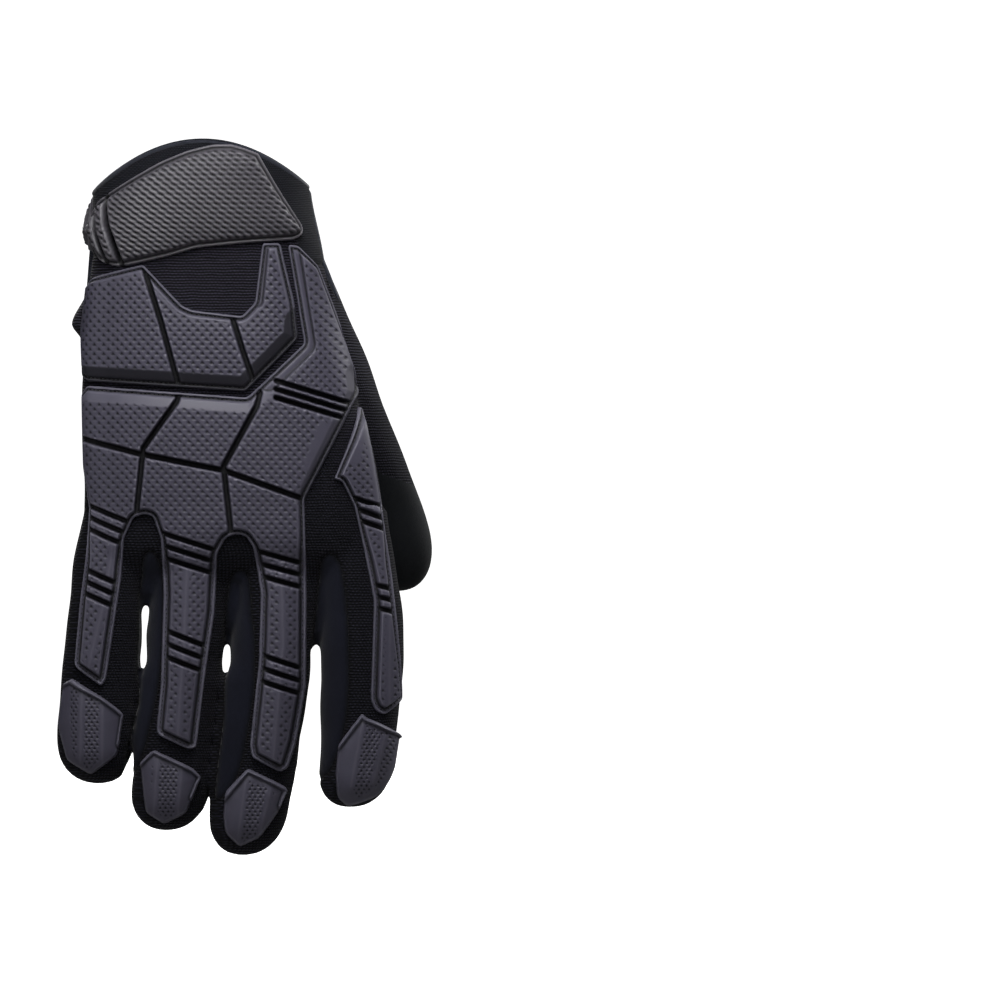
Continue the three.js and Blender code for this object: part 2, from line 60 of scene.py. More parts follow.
# palm sections: down, left, right, back, front as shares of the sizes above
palmRows = np.array([
    [-0.04, -0.38, 0.36, 0.53, 0.53],
    [0.07, -0.392, 0.372, 0.53, 0.53],
    [0.13, -0.392, 0.405, 0.51, 0.53],
    [0.19, -0.4, 0.435, 0.5, 0.54],
    [0.26, -0.42, 0.475, 0.49, 0.54],
    [0.34, -0.428, 0.53, 0.475, 0.51],
    [0.42, -0.425, 0.59, 0.455, 0.46],
    [0.49, -0.42, 0.62, 0.425, 0.4],
    [0.56, -0.43, 0.64, 0.36, 0.33],
    [0.6, -0.44, 0.65, 0.2, 0.18],
])
palmEnd = -palmRows[-1, 0] * glove["length"]
palmSquareness = 2.6
digitSquareness = 2.3

# digit stations: down, across, wide, deep, forward; the last row is the tip
digitRows = {
    "little": np.array([
        [0.5, -0.305, 0.8, 0.84, 0],
        [0.54, -0.32, 0.88, 0.88, 0],
        [0.64, -0.34, 0.97, 0.9, 0],
        [0.71, -0.357, 0.98, 0.88, 0.02],
        [0.835, -0.385, 0.92, 0.82, 0.1],
        [0.885, -0.372, 0.9, 0.78, 0.16],
    ]),
    "ring": np.array([
        [0.5, -0.05, 0.94, 0.94, 0],
        [0.56, -0.055, 0.96, 0.96, 0],
        [0.68, -0.062, 0.99, 0.96, 0],
        [0.77, -0.096, 0.98, 0.93, 0.04],
        [0.89, -0.124, 0.95, 0.86, 0.12],
        [0.951, -0.133, 0.92, 0.8, 0.18],
    ]),
    "middle": np.array([
        [0.5, 0.25, 0.96, 0.98, 0],
        [0.57, 0.25, 1.0, 1.0, 0],
        [0.69, 0.24, 1.06, 1.0, 0],
        [0.8, 0.196, 1.09, 0.96, 0.04],
        [0.92, 0.155, 1.0, 0.88, 0.12],
        [0.986, 0.132, 0.96, 0.82, 0.18],
    ]),
    "index": np.array([
        [0.5, 0.51, 0.92, 0.94, 0],
        [0.56, 0.525, 0.96, 0.96, 0],
        [0.66, 0.55, 1.05, 0.98, 0],
        [0.75, 0.547, 1.02, 0.94, 0.04],
        [0.868, 0.526, 0.89, 0.86, 0.12],
        [0.919, 0.512, 0.86, 0.8, 0.18],
    ]),
    "thumb": np.array([
        [0.13, 0.2, 1.16, 1.1, 0.12],
        [0.2, 0.265, 1.24, 1.2, 0.26],
        [0.275, 0.35, 1.22, 1.18, 0.44],
        [0.355, 0.44, 1.12, 1.1, 0.64],
        [0.445, 0.535, 1.08, 1.0, 0.88],
        [0.53, 0.62, 1.0, 0.94, 1.08],
        [0.617, 0.665, 0.96, 0.9, 1.18],
    ]),
}


def place(pairs):
    # across and down shares become x and z in millimetres
    pairs = np.asarray(pairs, float)
    return np.stack([pairs[..., 0] * glove["handWidth"], -pairs[..., 1] * glove["length"]], -1)


def through(rows, at):
    # cubic Hermite curve through the table's columns over its first column
    knots = rows[:, 0]
    values = rows[:, 1:]
    slopes = np.gradient(values, knots, axis=0)
    at = np.clip(at, knots[0], knots[-1])
    low = np.clip(np.searchsorted(knots, at, side="right") - 1, 0, len(knots) - 2)
    span = (knots[low + 1] - knots[low])[..., None]
    t = (at - knots[low])[..., None] / span
    first = (1 + 2 * t) * (1 - t) ** 2 * values[low] + t * (1 - t) ** 2 * slopes[low] * span
    second = t * t * (3 - 2 * t) * values[low + 1] + t * t * (t - 1) * slopes[low + 1] * span
    return first + second


def smoothstep(low, high, value):
    t = np.clip((value - low) / (high - low), 0, 1)
    return t * t * (3 - 2 * t)


def hump(value, centre, width):
    # bell curve: e to minus the square of the distance from the centre over the width
    return np.exp(-((value - centre) / width) ** 2)


def unitVectors(vectors):
    return vectors / np.maximum(np.linalg.norm(vectors, axis=-1, keepdims=True), 1e-9)


def signedPower(value, power):
    return np.sign(value) * np.abs(value) ** power


def superSection(u, squareness):
    # height of a unit superellipse over u
    return np.clip(1 - np.abs(u) ** squareness, 0, None) ** (1 / squareness)


def palmSection(z):
    left, right, back, front = np.moveaxis(through(palmRows, -z / glove["length"]), -1, 0)
    centre = (left + right) / 2 * glove["handWidth"]
    half = (right - left) / 2 * glove["handWidth"]
    return centre, half, back * glove["handDepth"], front * glove["handDepth"]


def digitSize(name):
    if name == "thumb":
        return glove["thumbWidth"], glove["thumbDepth"]
    return glove["fingerWidth"], glove["fingerDepth"]


def digitEnds(name):
    # z of a digit's first station and of its tip
    rows = digitRows[name]
    return -rows[0, 0] * glove["length"], -rows[-1, 0] * glove["length"]


def digitSection(name, z):
    # centre x, centre y, half width and half depth; the end rounds off as a superellipse
    rows = digitRows[name]
    width, depth = digitSize(name)
    down = -z / glove["length"]
    across, wide, deep, forward = np.moveaxis(through(rows, down), -1, 0)
    start, tip = rows[-2, 0], rows[-1, 0]
    share = np.clip((down - start) / (tip - start), 0, 1)
    rounding = np.clip(1 - share ** 2.3, 0, None) ** (1 / 2.3)
    half = wide * width / 2 * rounding
    return across * glove["handWidth"], forward * depth, half, deep * depth / 2 * rounding


def tubeRings(sections, sides, squareness):
    # superellipse rings: the signed powers of cosine and sine scaled to each section
    x, y, half, back, front, z = sections
    turn = np.arange(sides) * 2 * np.pi / sides
    across = signedPower(np.cos(turn), 2 / squareness)
    deep = signedPower(np.sin(turn), 2 / squareness)
    reach = np.where(deep[None, :] < 0, back[:, None], front[:, None])
    px = x[:, None] + half[:, None] * across[None, :]
    py = y[:, None] + reach * deep[None, :]
    pz = np.repeat(z[:, None], sides, axis=1)
    return np.stack([px, py, pz], axis=-1)


def ringFaces(rings, sides, closedEnds=True):
    row = np.arange(rings - 1)[:, None] * sides
    side = np.arange(sides)[None, :]
    after = (side + 1) % sides
    quads = np.stack([row + side, row + sides + side, row + sides + after, row + after], -1).reshape(-1, 4)
    faces = [tuple(quad) for quad in quads.tolist()]
    if closedEnds:
        faces.append(tuple(range(sides)))
        faces.append(tuple(range(rings * sides - 1, (rings - 1) * sides - 1, -1)))
    return faces


def newObject(name, points, faces, material=None):
    mesh = bpy.data.meshes.new(name)
    mesh.from_pydata((np.asarray(points) * mm).tolist(), [], faces)
    mesh.validate()
    mesh.polygons.foreach_set("use_smooth", np.ones(len(mesh.polygons), bool))
    piece = bpy.data.objects.new(name, mesh)
    bpy.context.scene.collection.objects.link(piece)
    if material is not None:
        mesh.materials.append(material)
    return piece


def outwards(piece):
    mesh = piece.data
    work = bmesh.new()
    work.from_mesh(mesh)
    bmesh.ops.recalc_face_normals(work, faces=work.faces)
    work.to_mesh(mesh)
    work.free()


def applyModifiers(piece):
    graph = bpy.context.evaluated_depsgraph_get()
    finished = bpy.data.meshes.new_from_object(piece.evaluated_get(graph))
    piece.modifiers.clear()
    old = piece.data
    piece.data = finished
    bpy.data.meshes.remove(old)


def meshArrays(piece):
    mesh = piece.data
    points = np.empty(len(mesh.vertices) * 3)
    mesh.vertices.foreach_get("co", points)
    mesh.calc_loop_triangles()
    triangles = np.empty(len(mesh.loop_triangles) * 3, dtype=np.int64)
    mesh.loop_triangles.foreach_get("vertices", triangles)
    return points.reshape(-1, 3) / mm, triangles.reshape(-1, 3)


def vertexNormals(points, triangles):
    a, b, c = (points[triangles[:, k]] for k in range(3))
    faceNormals = np.cross(b - a, c - a)
    normals = np.zeros_like(points)
    for k in range(3):
        np.add.at(normals, triangles[:, k], faceNormals)
    return normals / np.maximum(np.linalg.norm(normals, axis=1, keepdims=True), 1e-12)


def keepInside(points, triangles, field):
    # marching triangles: faces are cut where the field changes sign and the positive part stays
    inside = field > 0
    count = inside[triangles].sum(axis=1)
    mixed = triangles[(count == 1) | (count == 2)]
    alone = np.where(inside[mixed].sum(axis=1)[:, None] == 1, inside[mixed], ~inside[mixed])
    first = alone.argmax(axis=1)
    row = np.arange(len(mixed))
    a, b, c = mixed[row, first], mixed[row, (first + 1) % 3], mixed[row, (first + 2) % 3]
    edges = np.sort(np.concatenate([np.stack([a, b], 1), np.stack([a, c], 1)]), axis=1)
    unique, back = np.unique(edges, axis=0, return_inverse=True)
    back = back.reshape(-1)
    low, high = unique[:, 0], unique[:, 1]
    share = (field[low] / (field[low] - field[high]))[:, None]
    crossing = points[low] * (1 - share) + points[high] * share
    ab = len(points) + back[: len(mixed)]
    ac = len(points) + back[len(mixed):]
    single = inside[a]
    parts = [
        triangles[count == 3],
        np.stack([a, ab, ac], 1)[single],
        np.stack([ab, b, c], 1)[~single],
        np.stack([ab, c, ac], 1)[~single],
    ]
    merged = np.concatenate([points, crossing])
    kept = np.concatenate(parts)
    used, renumbered = np.unique(kept, return_inverse=True)
    return merged[used], renumbered.reshape(-1, 3)


# cloth body: lofts of the palm and the digits, fused at one voxel size and relaxed

cloth = {"voxel": 0.97, "relax": 6, "seamDepth": 0.55, "seamWidth": 0.9, "webHalf": 5.0, "webDepth": 8.5}

# lines between neighbouring fingers: z, x of the middle, the gap and its lean over y there
partings = {
    ("little", "ring"): np.array([
        [-217, -27.0, 2.6, 0], [-209, -25.4, 2.0, 0.2], [-203, -24.3, 1.8, 0.26], [-190, -22.3, 1.8,
                                                                                   0.26], [-184, -21.7, 1.9,
                                                                                           0.2],
        [-178, -21.2, 2.2, 0], [-160, -21, 2.3, 0],
    ]),
    ("ring", "middle"): np.array([
        [-232, 0.4, 2.6, 0], [-224, 1.6, 2.0, 0.2], [-215, 3.0, 1.8, 0.26], [-200, 5.4, 1.8, 0.26],
        [-184, 7.4, 1.9, 0.26], [-180, 7.6, 2.3, 0], [-173, 8.1, 2.4, 0], [-168, 8.1, 2.2, 0],
    ]),
    ("middle", "index"): np.array([
        [-220, 35.2, 8.0, 0], [-200, 37.4, 5.6, 0], [-185, 38.8, 4.0, 0], [-171, 38.9, 3.6, 0],
    ]),
}
webEnds = {("little", "ring"): -157.5, ("ring", "middle"): -169.5, ("middle", "index"): -171.5}


def parted(name, points):
    # points of a finger are kept on their own side of the partings, below the webs
    for (first, second), rows in partings.items():
        x, gap, lean = (np.interp(points[:, 2], rows[:, 0], rows[:, k]) for k in (1, 2, 3))
        x = x + lean * points[:, 1]
        cx, cy, ch, cd = digitSection(name, points[:, 2])
        toward = (points[:, 0] - cx) / np.maximum(ch, 0.5) * (1 if name == first else -1)
        if name in (first, second):
            push = 2.8 * np.clip(lean / 0.26, 0, 1) * np.clip(toward, 0, 1)
            points[:, 0] += push * (1 if name == first else -1)
        ease = smoothstep(webEnds[first, second] + 2, webEnds[first, second] - 3, points[:, 2])
        if name == first:
            limit = x - gap / 2 * ease + 3 * (1 - ease)
            points[:, 0] = np.where(ease > 0, np.minimum(points[:, 0], limit), points[:, 0])
        if name == second:
            limit = x + gap / 2 * ease - 3 * (1 - ease)
            points[:, 0] = np.where(ease > 0, np.maximum(points[:, 0], limit), points[:, 0])
    return points


def clothBody():
    lofts = []
    z = np.linspace(11, palmEnd, 90)
    centre, half, back, front = palmSection(z)
    rings = tubeRings((centre, 0 * z, half, back, front, z), 96, palmSquareness)
    lofts.append((rings.reshape(-1, 3), ringFaces(len(z), 96)))
    for name in digitRows:
        top, tip = digitEnds(name)
        turn = np.linspace(0, 1, 80)
        z = top + (tip - top) * np.sin(turn * np.pi / 2) ** 0.9
        z[-1] = tip + 0.02
        x, y, half, deep = digitSection(name, z)
        rings = tubeRings((x, y, half, deep, deep, z), 56, digitSquareness)
        lofts.append((parted(name, rings.reshape(-1, 3)), ringFaces(len(z), 56)))
    for pair, end in webEnds.items():
        # web between two fingers, rounded off at its lower end
        z = np.linspace(-138, end - 0.01, 40)
        rounding = np.clip(1 - np.clip((z + 150) / (end + 150), 0, 1) ** 2.4, 0.02, None) ** 0.5
        x = np.interp(z, partings[pair][:, 0], partings[pair][:, 1])
        deep = cloth["webDepth"] * rounding
        rings = tubeRings((x, 0 * z + 1.2, cloth["webHalf"] + 0 * z, deep, deep, z), 40, 2.6)
        lofts.append((rings.reshape(-1, 3), ringFaces(len(z), 40)))
    points, faces = [], []
    for loftPoints, loftFaces in lofts:
        start = sum(len(p) for p in points)
        points.append(loftPoints)
        faces += [tuple(start + corner for corner in face) for face in loftFaces]
    body = newObject("cloth_body", np.concatenate(points), faces)
    outwards(body)
    remesh = body.modifiers.new("fuse", "REMESH")
    remesh.mode = "VOXEL"
    remesh.voxel_size = cloth["voxel"] * mm
    relax = body.modifiers.new("relax", "SMOOTH")
    relax.factor = 0.5
    relax.iterations = cloth["relax"]
    applyModifiers(body)
    points, triangles = meshArrays(body)
    bpy.data.objects.remove(body)
    return points, triangles


# boundary fields in millimetres, positive inside the piece that they name

def rimField(p):
    side = p[:, 0] / (0.4 * glove["handWidth"])
    return glove["rimRise"] - 0.6 - glove["rimDrop"] * side ** 2 - p[:, 2]


def cuffField(p):
    # the cuff seam sags a little toward the outer edge of the hand
    sag = 1.5 * np.sin(p[:, 0] / 24)
    return p[:, 2] + glove["cuffSeam"] * glove["length"] + sag


def thumbShare(p):
    # 1 on the thumb, 0 on the rest, from the scaled distances to both middle lines
    top, tip = digitEnds("thumb")
    z = np.clip(p[:, 2], tip, top)
    x, y, half, deep = digitSection("thumb", z)
    width, depth = digitSize("thumb")
    thumb = np.hypot((p[:, 0] - x) / (width / 2), (p[:, 1] - y) / (depth / 2))
    low = p[:, 2] > tip - 3
    return smoothstep(1.5, 1.2, thumb) * smoothstep(-34, -44, p[:, 2]) * low


# z and x of the seam on the front, where the knit wraps round the thumb's outer side
thumbSeam = np.array([[-162, 90], [-152, 80], [-144, 72.4], [-123, 66], [-101, 58.7], [-68, 49.5],
                      [-40, 38], [-36, 90]])


def palmField(p):
    # in front of the side seam, which follows the thumb's own middle on the thumb
    top, tip = digitEnds("thumb")
    z = np.clip(p[:, 2], tip, top)
    thumbMiddle = digitSection("thumb", z)[1] + 3.5
    share = thumbShare(p)
    seam = glove["sideSeam"] * glove["handDepth"] * (1 - share) + thumbMiddle * share
    fingertip = 0.1 * glove["fingerDepth"] * smoothstep(-190, -225, p[:, 2])
    thumbSide = np.interp(p[:, 2], thumbSeam[:, 0], thumbSeam[:, 1]) - p[:, 0]
    return np.minimum(p[:, 1] - seam - fingertip * (1 - share), thumbSide)


# side strips between the fingers: their outline on the back, their half width and top on the front
sideStrips = {
    "half": 5.2,
    "front": {"little_ring": -146.0, "ring_middle": -153.0, "middle_index": -156.0},
    "end": {"little": -213.0, "ring": -229.0, "middle": -238.0, "index": -222.0},
    "back": {
        "little_ring": [
            (142, 562), (145, 553), (150, 549), (155, 553), (160, 564), (162.5, 595), (162, 640), (158,
                                                                                                   680),
            (152, 712), (145, 742), (137, 762), (128, 775), (128, 745), (137, 700), (139, 620),
        ],
        "ring_middle": [
            (229, 582), (232, 573), (239.5, 568.5), (245, 571), (248, 580), (250, 613), (254, 640), (254,
                                                                                                     680),
            (250, 712), (243, 750), (236, 775), (226, 792), (213, 800), (216, 760), (222, 720), (224.5,
                                                                                                 640), (226,
                                                                                                        600),
        ],
        "middle_index": [
            (320, 563), (323, 556), (328.5, 553), (334, 554), (340, 565), (344, 590), (347, 630), (348,
                                                                                                   680),
            (345, 716), (339, 745), (328, 770), (300, 790), (296, 760), (308, 700), (313, 640), (317, 590),
        ],
    },
}


def stripField(first, second):
    pair = f"{first}_{second}"

    def field(p):
        z = p[:, 2]
        xa, ya, ha, da = digitSection(first, np.clip(z, -246, -130))
        xb, yb, hb, db = digitSection(second, np.clip(z, -246, -130))
        middle = (xa + ha + xb - hb) / 2
        nearFirst = p[:, 0] < middle
        centreY = np.where(nearFirst, ya, yb) + 1.0
        end = np.where(nearFirst, sideStrips["end"][first], sideStrips["end"][second])
        arch = sideStrips["front"][pair] + 2.5 - 0.09 * (p[:, 0] - middle) ** 2
        band = sideStrips["half"] * smoothstep(end, end + 14, z) - (p[:, 1] - centreY)
        front = np.minimum.reduce([band, p[:, 0] - xa, xb - p[:, 0], arch - z, z - end])
        back = np.full(len(p), -9.0)
        near = (z < -136) & (z > -232) & (p[:, 0] > xa) & (p[:, 0] < xb)
        outline = rounded(drawn(sideStrips["back"][pair]), 3)
        back[near] = insideDistance(p[near, 0], z[near], outline)
        turn = smoothstep(centreY - 2, centreY + 2, p[:, 1])
        return back * (1 - turn) + front * turn

    return field


def creases(p):
    # soft folds: each is a groove round the segment from start to end, with its depth and width
    folds = np.array([
        [30, 20, -82, 24, 20, -104, 1.1, 2.2],
        [36, 18, -84, 30, 19, -108, 0.9, 2.0],
        [42, 14, -96, 37, 17, -114, 0.7, 1.8],
        [46, -8, -104, 56, 2, -118, 0.5, 2.4],
        [10, 19, -100, 26, 18, -108, 0.5, 2.6],
        [-8, 19, -108, 14, 18, -111, 0.5, 2.6],
        [-40, 6, -128, -26, 14, -131, 0.4, 2.0],
    ], float)
    total = np.zeros(len(p))
    for fold in folds:
        start, end, depth, width = fold[0:3], fold[3:6], fold[6], fold[7]
        along = end - start
        t = np.clip((p - start) @ along / (along @ along), 0, 1)
        reach = np.linalg.norm(p - start - t[:, None] * along, axis=1)
        total += depth * hump(reach, 0, width) * np.sin(np.pi * np.clip(t, 0.06, 0.94))
    return total


def clothWaves(p):
    # slow swells of the cloth, a few tenths of a millimetre
    waves = 0.16 * np.sin(p[:, 2] / 5.3 + p[:, 0] / 17) * np.sin(p[:, 0] / 9.1 + 1.3)
    return waves + 0.1 * np.sin(p[:, 2] / 3.1 + p[:, 1] / 4.0 + p[:, 0] / 23)


# drawing units of the front and palm views: one unit is 0.35 mm, z runs down from the top line
drawing = {"unit": 0.35, "left": 203.0, "top": 150.0, "wristLeft": 597.0, "wristRight": 36.0,
           "palmUnit": 0.332}


def drawn(pairs):
    pairs = np.asarray(pairs, float)
    x = (pairs[..., 0] - drawing["left"]) * drawing["unit"]
    return np.stack([x, (drawing["top"] - pairs[..., 1]) * drawing["unit"]], -1)


# surface heights of the back and of the front over x and z

noCloth = -60.0  # the height given where there is no cloth


def blendMax(first, second, width):
    gap = np.clip(width - np.abs(first - second), 0, None)
    return np.maximum(first, second) + gap * gap / (4 * width)


def surfaceHeight(x, z, side, digits):
    # distance of the cloth from the X-Z plane toward the back (-1) or the front (+1)
    centre, half, back, front = palmSection(np.maximum(z, palmEnd))
    u = (x - centre) / half
    height = (back if side < 0 else front) * superSection(u, palmSquareness)
    height = np.where((np.abs(u) < 1) & (z > palmEnd), height, noCloth)
    for name in digits:
        top, tip = digitEnds(name)
        inRange = (z < top) & (z > tip)
        cx, cy, ch, cd = digitSection(name, z)
        u = (x - cx) / np.maximum(ch, 0.01)
        digit = cd * superSection(u, digitSquareness) + side * cy
        height = np.where(inRange & (np.abs(u) < 1), blendMax(height, digit, 1.6), height)
    return height


def rounded(outline, radius=1.3, steps=4):
    # every corner becomes a short curve between two points at the radius from it
    before, after = np.roll(outline, 1, axis=0), np.roll(outline, -1, axis=0)
    lengthIn = np.linalg.norm(before - outline, axis=1, keepdims=True)
    lengthOut = np.linalg.norm(after - outline, axis=1, keepdims=True)
    reach = np.minimum(radius, 0.4 * np.minimum(lengthIn, lengthOut))
    start = outline + (before - outline) / lengthIn * reach
    end = outline + (after - outline) / lengthOut * reach
    t = np.linspace(0, 1, steps)[None, :, None]
    curve = (1 - t) ** 2 * start[:, None] + 2 * t * (1 - t) * outline[:, None] + t * t * end[:, None]
    return curve.reshape(-1, 2)


def segmentDistance(x, z, starts, ends):
    # distance to the nearest of several segments
    best = np.full(x.shape, 1e9)
    for start, end in zip(starts, ends):
        along = end - start
        t = np.clip(((x - start[0]) * along[0] + (z - start[1]) * along[1]) / max(along @ along, 1e-9), 0,
                    1)
        best = np.minimum(best, (x - start[0] - t * along[0]) ** 2 + (z - start[1] - t * along[1]) ** 2)
    return np.sqrt(best)


def insideDistance(x, z, outline):
    # signed distance to a closed outline, positive inside
    starts, ends = outline, np.roll(outline, -1, axis=0)
    inside = np.zeros(x.shape, bool)
    for (x1, z1), (x2, z2) in zip(starts, ends):
        if z1 != z2:
            inside ^= ((z1 > z) != (z2 > z)) & (x < (x2 - x1) * (z - z1) / (z2 - z1) + x1)
    distance = segmentDistance(x, z, starts, ends)
    return np.where(inside, distance, -distance)


def lineDistance(x, z, lines):
    # distance to the nearest of several open lines
    best = np.full(x.shape, 1e9)
    for line in lines:
        best = np.minimum(best, segmentDistance(x, z, line[:-1], line[1:]))
    return best


def handReach(z):
    # outermost x of the whole hand on both sides at each z, easing from the palm to the fingers
    centre, half, back, front = palmSection(np.maximum(z, palmEnd))
    below = smoothstep(-0.56 * glove["length"], -0.64 * glove["length"], z)
    low, high = centre - half, centre + half
    for name in ("little", "index"):
        cx, cy, ch, cd = digitSection(name, z)
        if name == "little":
            low = low * (1 - below) + (cx - np.maximum(ch, 6)) * below
        else:
            high = high * (1 - below) + (cx + np.maximum(ch, 6)) * below
    cx, cy, ch, cd = digitSection("thumb", z)
    start, end = digitEnds("thumb")
    onThumb = smoothstep(start, start - 6, z) * smoothstep(end, end + 16, z)
    return low, high + onThumb * np.maximum(cx + ch - high, 0)


def indexReach(z):
    # from the hand's outer edge to the index finger's side, with the thumb left out
    low = handReach(z)[0]
    centre, half, back, front = palmSection(np.maximum(z, -0.57 * glove["length"]))
    cx, cy, ch, cd = digitSection("index", z)
    below = smoothstep(-0.53 * glove["length"], -0.6 * glove["length"], z)
    high = (centre + half) * (1 - below) + (cx + np.maximum(ch, 6)) * below
    return low, high + 3.0 * np.exp(-((z + 136) / 22) ** 2)


def digitReach(name):
    def reach(z):
        cx, cy, ch, cd = digitSection(name, z)
        return cx - np.maximum(ch, 1.5), cx + np.maximum(ch, 1.5)

    return reach


farTurn = 1.5  # radians that a sheet may go round an outer edge


class Wrap:
    # lays view positions out flat: near the outer edges a sheet follows an ellipse of the reach
    # and the depth, so lengths are measured along the surface and not across the view
    def __init__(self, reach, depth, stand=2.5, side=-1, flare=0.0):
        self.reach, self.depth, self.stand, self.side, self.flare = reach, depth, stand, side, flare

    def length(self, turn, half):
        # arc length from the ellipse's top: the mean speed over 24 parts times the turn
        steps = (np.arange(24) + 0.5) / 24
        at = turn[..., None] * steps
        speed = np.hypot(half[..., None] * np.cos(at), self.depth * np.sin(at))
        return turn * speed.mean(axis=-1)

    def lean(self, turn):
        return smoothstep(0.72, 0.97, np.abs(np.sin(turn)))

    def flat(self, pairs):
        # view x and z to flat s and z
        pairs = np.asarray(pairs, float)
        low, high = self.reach(pairs[:, 1])
        centre, half = (low + high) / 2, (high - low) / 2
        turns = np.linspace(-farTurn, farTurn, 301)
        sine, cosine = np.sin(turns)[None, :], np.cos(turns)[None, :]
        outX = self.depth * sine / np.hypot(self.depth * sine, half[:, None] * cosine)
        seen = half[:, None] * sine + self.stand * outX * self.lean(turns)[None, :]
        offset = pairs[:, 0] - centre
        turn = np.array([np.interp(value, row, turns) for value, row in zip(offset, seen)])
        return np.stack([centre + self.length(turn, half), pairs[:, 1]], -1)


def gridTriangles(rows, columns):
    corner = (np.arange(rows - 1)[:, None] * columns + np.arange(columns - 1)[None, :]).reshape(-1)
    right, below = corner + 1, corner + columns
    across = below + 1
    return np.concatenate([np.stack([corner, below, across], 1), np.stack([corner, across, right], 1)])


def closeSheet(name, columns, triangles, material):
    # a sheet becomes a closed solid: its border drops to the cloth, and a coarse sheet on the same border
    # closes the bottom. columns: top xyz, bottom xyz, s, z, marks (painted shade, painted highlight, pattern
    # mask), edge, coarse
    top, down, flat, marks = columns[:, :3], columns[:, 3:6], columns[:, 6:8], columns[:, 8:11]
    directed = np.concatenate([triangles[:, [0, 1]], triangles[:, [1, 2]], triangles[:, [2, 0]]])
    keys = directed.min(axis=1) * len(top) + directed.max(axis=1)
    unique, back, counts = np.unique(keys, return_inverse=True, return_counts=True)
    rim = directed[counts[back.reshape(-1)] == 1]
    border = np.unique(rim)
    inner = np.flatnonzero((columns[:, 12] == 1) & (columns[:, 11] > 1.5))
    lower = np.full(len(top), -1)
    chosen = np.concatenate([border, inner])
    lower[chosen] = len(top) + np.arange(len(chosen))
    local = lower - len(top)
    made = delaunay_2d_cdt([Vector(pair) for pair in flat[chosen].tolist()],
                           local[rim].tolist(), [], 1, 1e-5)
    origin = np.array([group[0] if group else -1 for group in made[3]])
    bottom = [[len(top) + int(origin[corner]) for corner in face] for face in made[2]
              if all(origin[corner] >= 0 for corner in face)]
    skirt = np.stack([rim[:, 1], rim[:, 0], lower[rim[:, 0]], lower[rim[:, 1]]], 1)
    points = np.concatenate([top, down[chosen]])
    piece = newObject(name, points, triangles.tolist() + skirt.tolist() + bottom, material)
    mesh = piece.data
    allFlat, allMarks = np.concatenate([flat, flat[chosen]]), np.concatenate([marks, marks[chosen]])
    colour = mesh.attributes.new("marks", "FLOAT_COLOR", "POINT")
    colour.data.foreach_set("color", np.c_[allMarks, np.ones(len(allMarks))].ravel())
    corners = np.empty(len(mesh.loops), dtype=np.int64)
    mesh.loops.foreach_get("vertex_index", corners)
    layer = mesh.uv_layers.new(name="flat")
    layer.uv.foreach_set("vector", (allFlat[corners] * mm).ravel())
    outwards(piece)
    mesh.polygons.foreach_set("use_smooth", np.ones(len(mesh.polygons), bool))
    return piece


def evened(height, valid, times=8):
    # mean over each point and its four neighbours, several times, over the valid points only
    for turn in range(times):
        total, count = np.zeros(height.shape), np.zeros(height.shape)
        value, weight = np.pad(np.where(valid, height, 0), 1), np.pad(valid.astype(float), 1)
        for rows, columns in ((1, 1), (0, 1), (2, 1), (1, 0), (1, 2)):
            part = np.s_[rows:rows + height.shape[0], columns:columns + height.shape[1]]
            total += value[part]
            count += weight[part]
        height = np.where(valid, total / np.maximum(count, 1), height)
    return height


sheets = {}


def reliefPiece(name, outline, relief, material, wrap, spacing=0.4, digits=(), sink=0.5):
    # a sheet over the cloth: each point stands off it by the relief's height at its flat place
    outline = rounded(wrap.flat(outline))
    zLow, zHigh = outline[:, 1].min() - spacing, outline[:, 1].max() + spacing
    z = np.linspace(zHigh, zLow, int((zHigh - zLow) / spacing) + 2)
    low, high = wrap.reach(z)
    centre, half = (low + high) / 2, (high - low) / 2
    count = int(np.pi * half.max() / spacing)
    turn = np.linspace(-farTurn, farTurn, count)
    flatAll = centre[:, None] + wrap.length(np.repeat(turn[None, :], len(z), 0),
                                            np.repeat(half[:, None], count, 1))
    used = (flatAll.max(axis=0) > outline[:, 0].min() - 1) & (flatAll.min(axis=0) < outline[:, 0].max() + 1)
    turn, s = turn[used], flatAll[:, used]
    x = centre[:, None] + half[:, None] * np.sin(turn)[None, :]
    zz = np.repeat(z[:, None], len(turn), axis=1)
    height = surfaceHeight(x, zz, wrap.side, digits)
    valid = height > noCloth / 2
    height = np.where(valid, evened(height, valid), noCloth / 2)
    base = np.stack([x, wrap.side * height, zz], axis=-1)
    normal = np.cross(np.gradient(base, axis=1), np.gradient(base, axis=0))
    normal *= np.sign(normal[..., 1:2]) * wrap.side
    normal = unitVectors(normal)
    lean = wrap.lean(turn)[None, :, None]
    out = normal * lean + np.array([0, wrap.side, 0]) * (1 - lean)
    out = unitVectors(out)
    edge = insideDistance(s, zz, outline)
    stand, marks = relief(s, zz, edge)
    stand = stand * (1 - 0.4 * lean[..., 0])
    # a stiff sheet does not follow the outer edge all the way down
    flare = wrap.flare * smoothstep(0.8, 1.0, np.abs(np.sin(turn)))[None, :, None]
    top = base + out * stand[..., None] + np.array([0, wrap.side, 0]) * flare
    down = base - out * sink
    sheets[name] = {"z": z, "s": s, "top": top, "out": out, "outline": outline}
    coarse = np.zeros(x.shape)
    coarse[::10, ::10] = 1
    columns = np.concatenate([top, down, s[..., None], zz[..., None], marks, edge[..., None],
                              coarse[..., None]], -1)
    columns = columns.reshape(-1, columns.shape[-1])
    field = np.where(valid, edge, -5.0).reshape(-1)
    columns, triangles = keepInside(columns, gridTriangles(len(z), len(turn)), field)
    return closeSheet(name, columns, triangles, material)


# relief of a moulded rubber guard

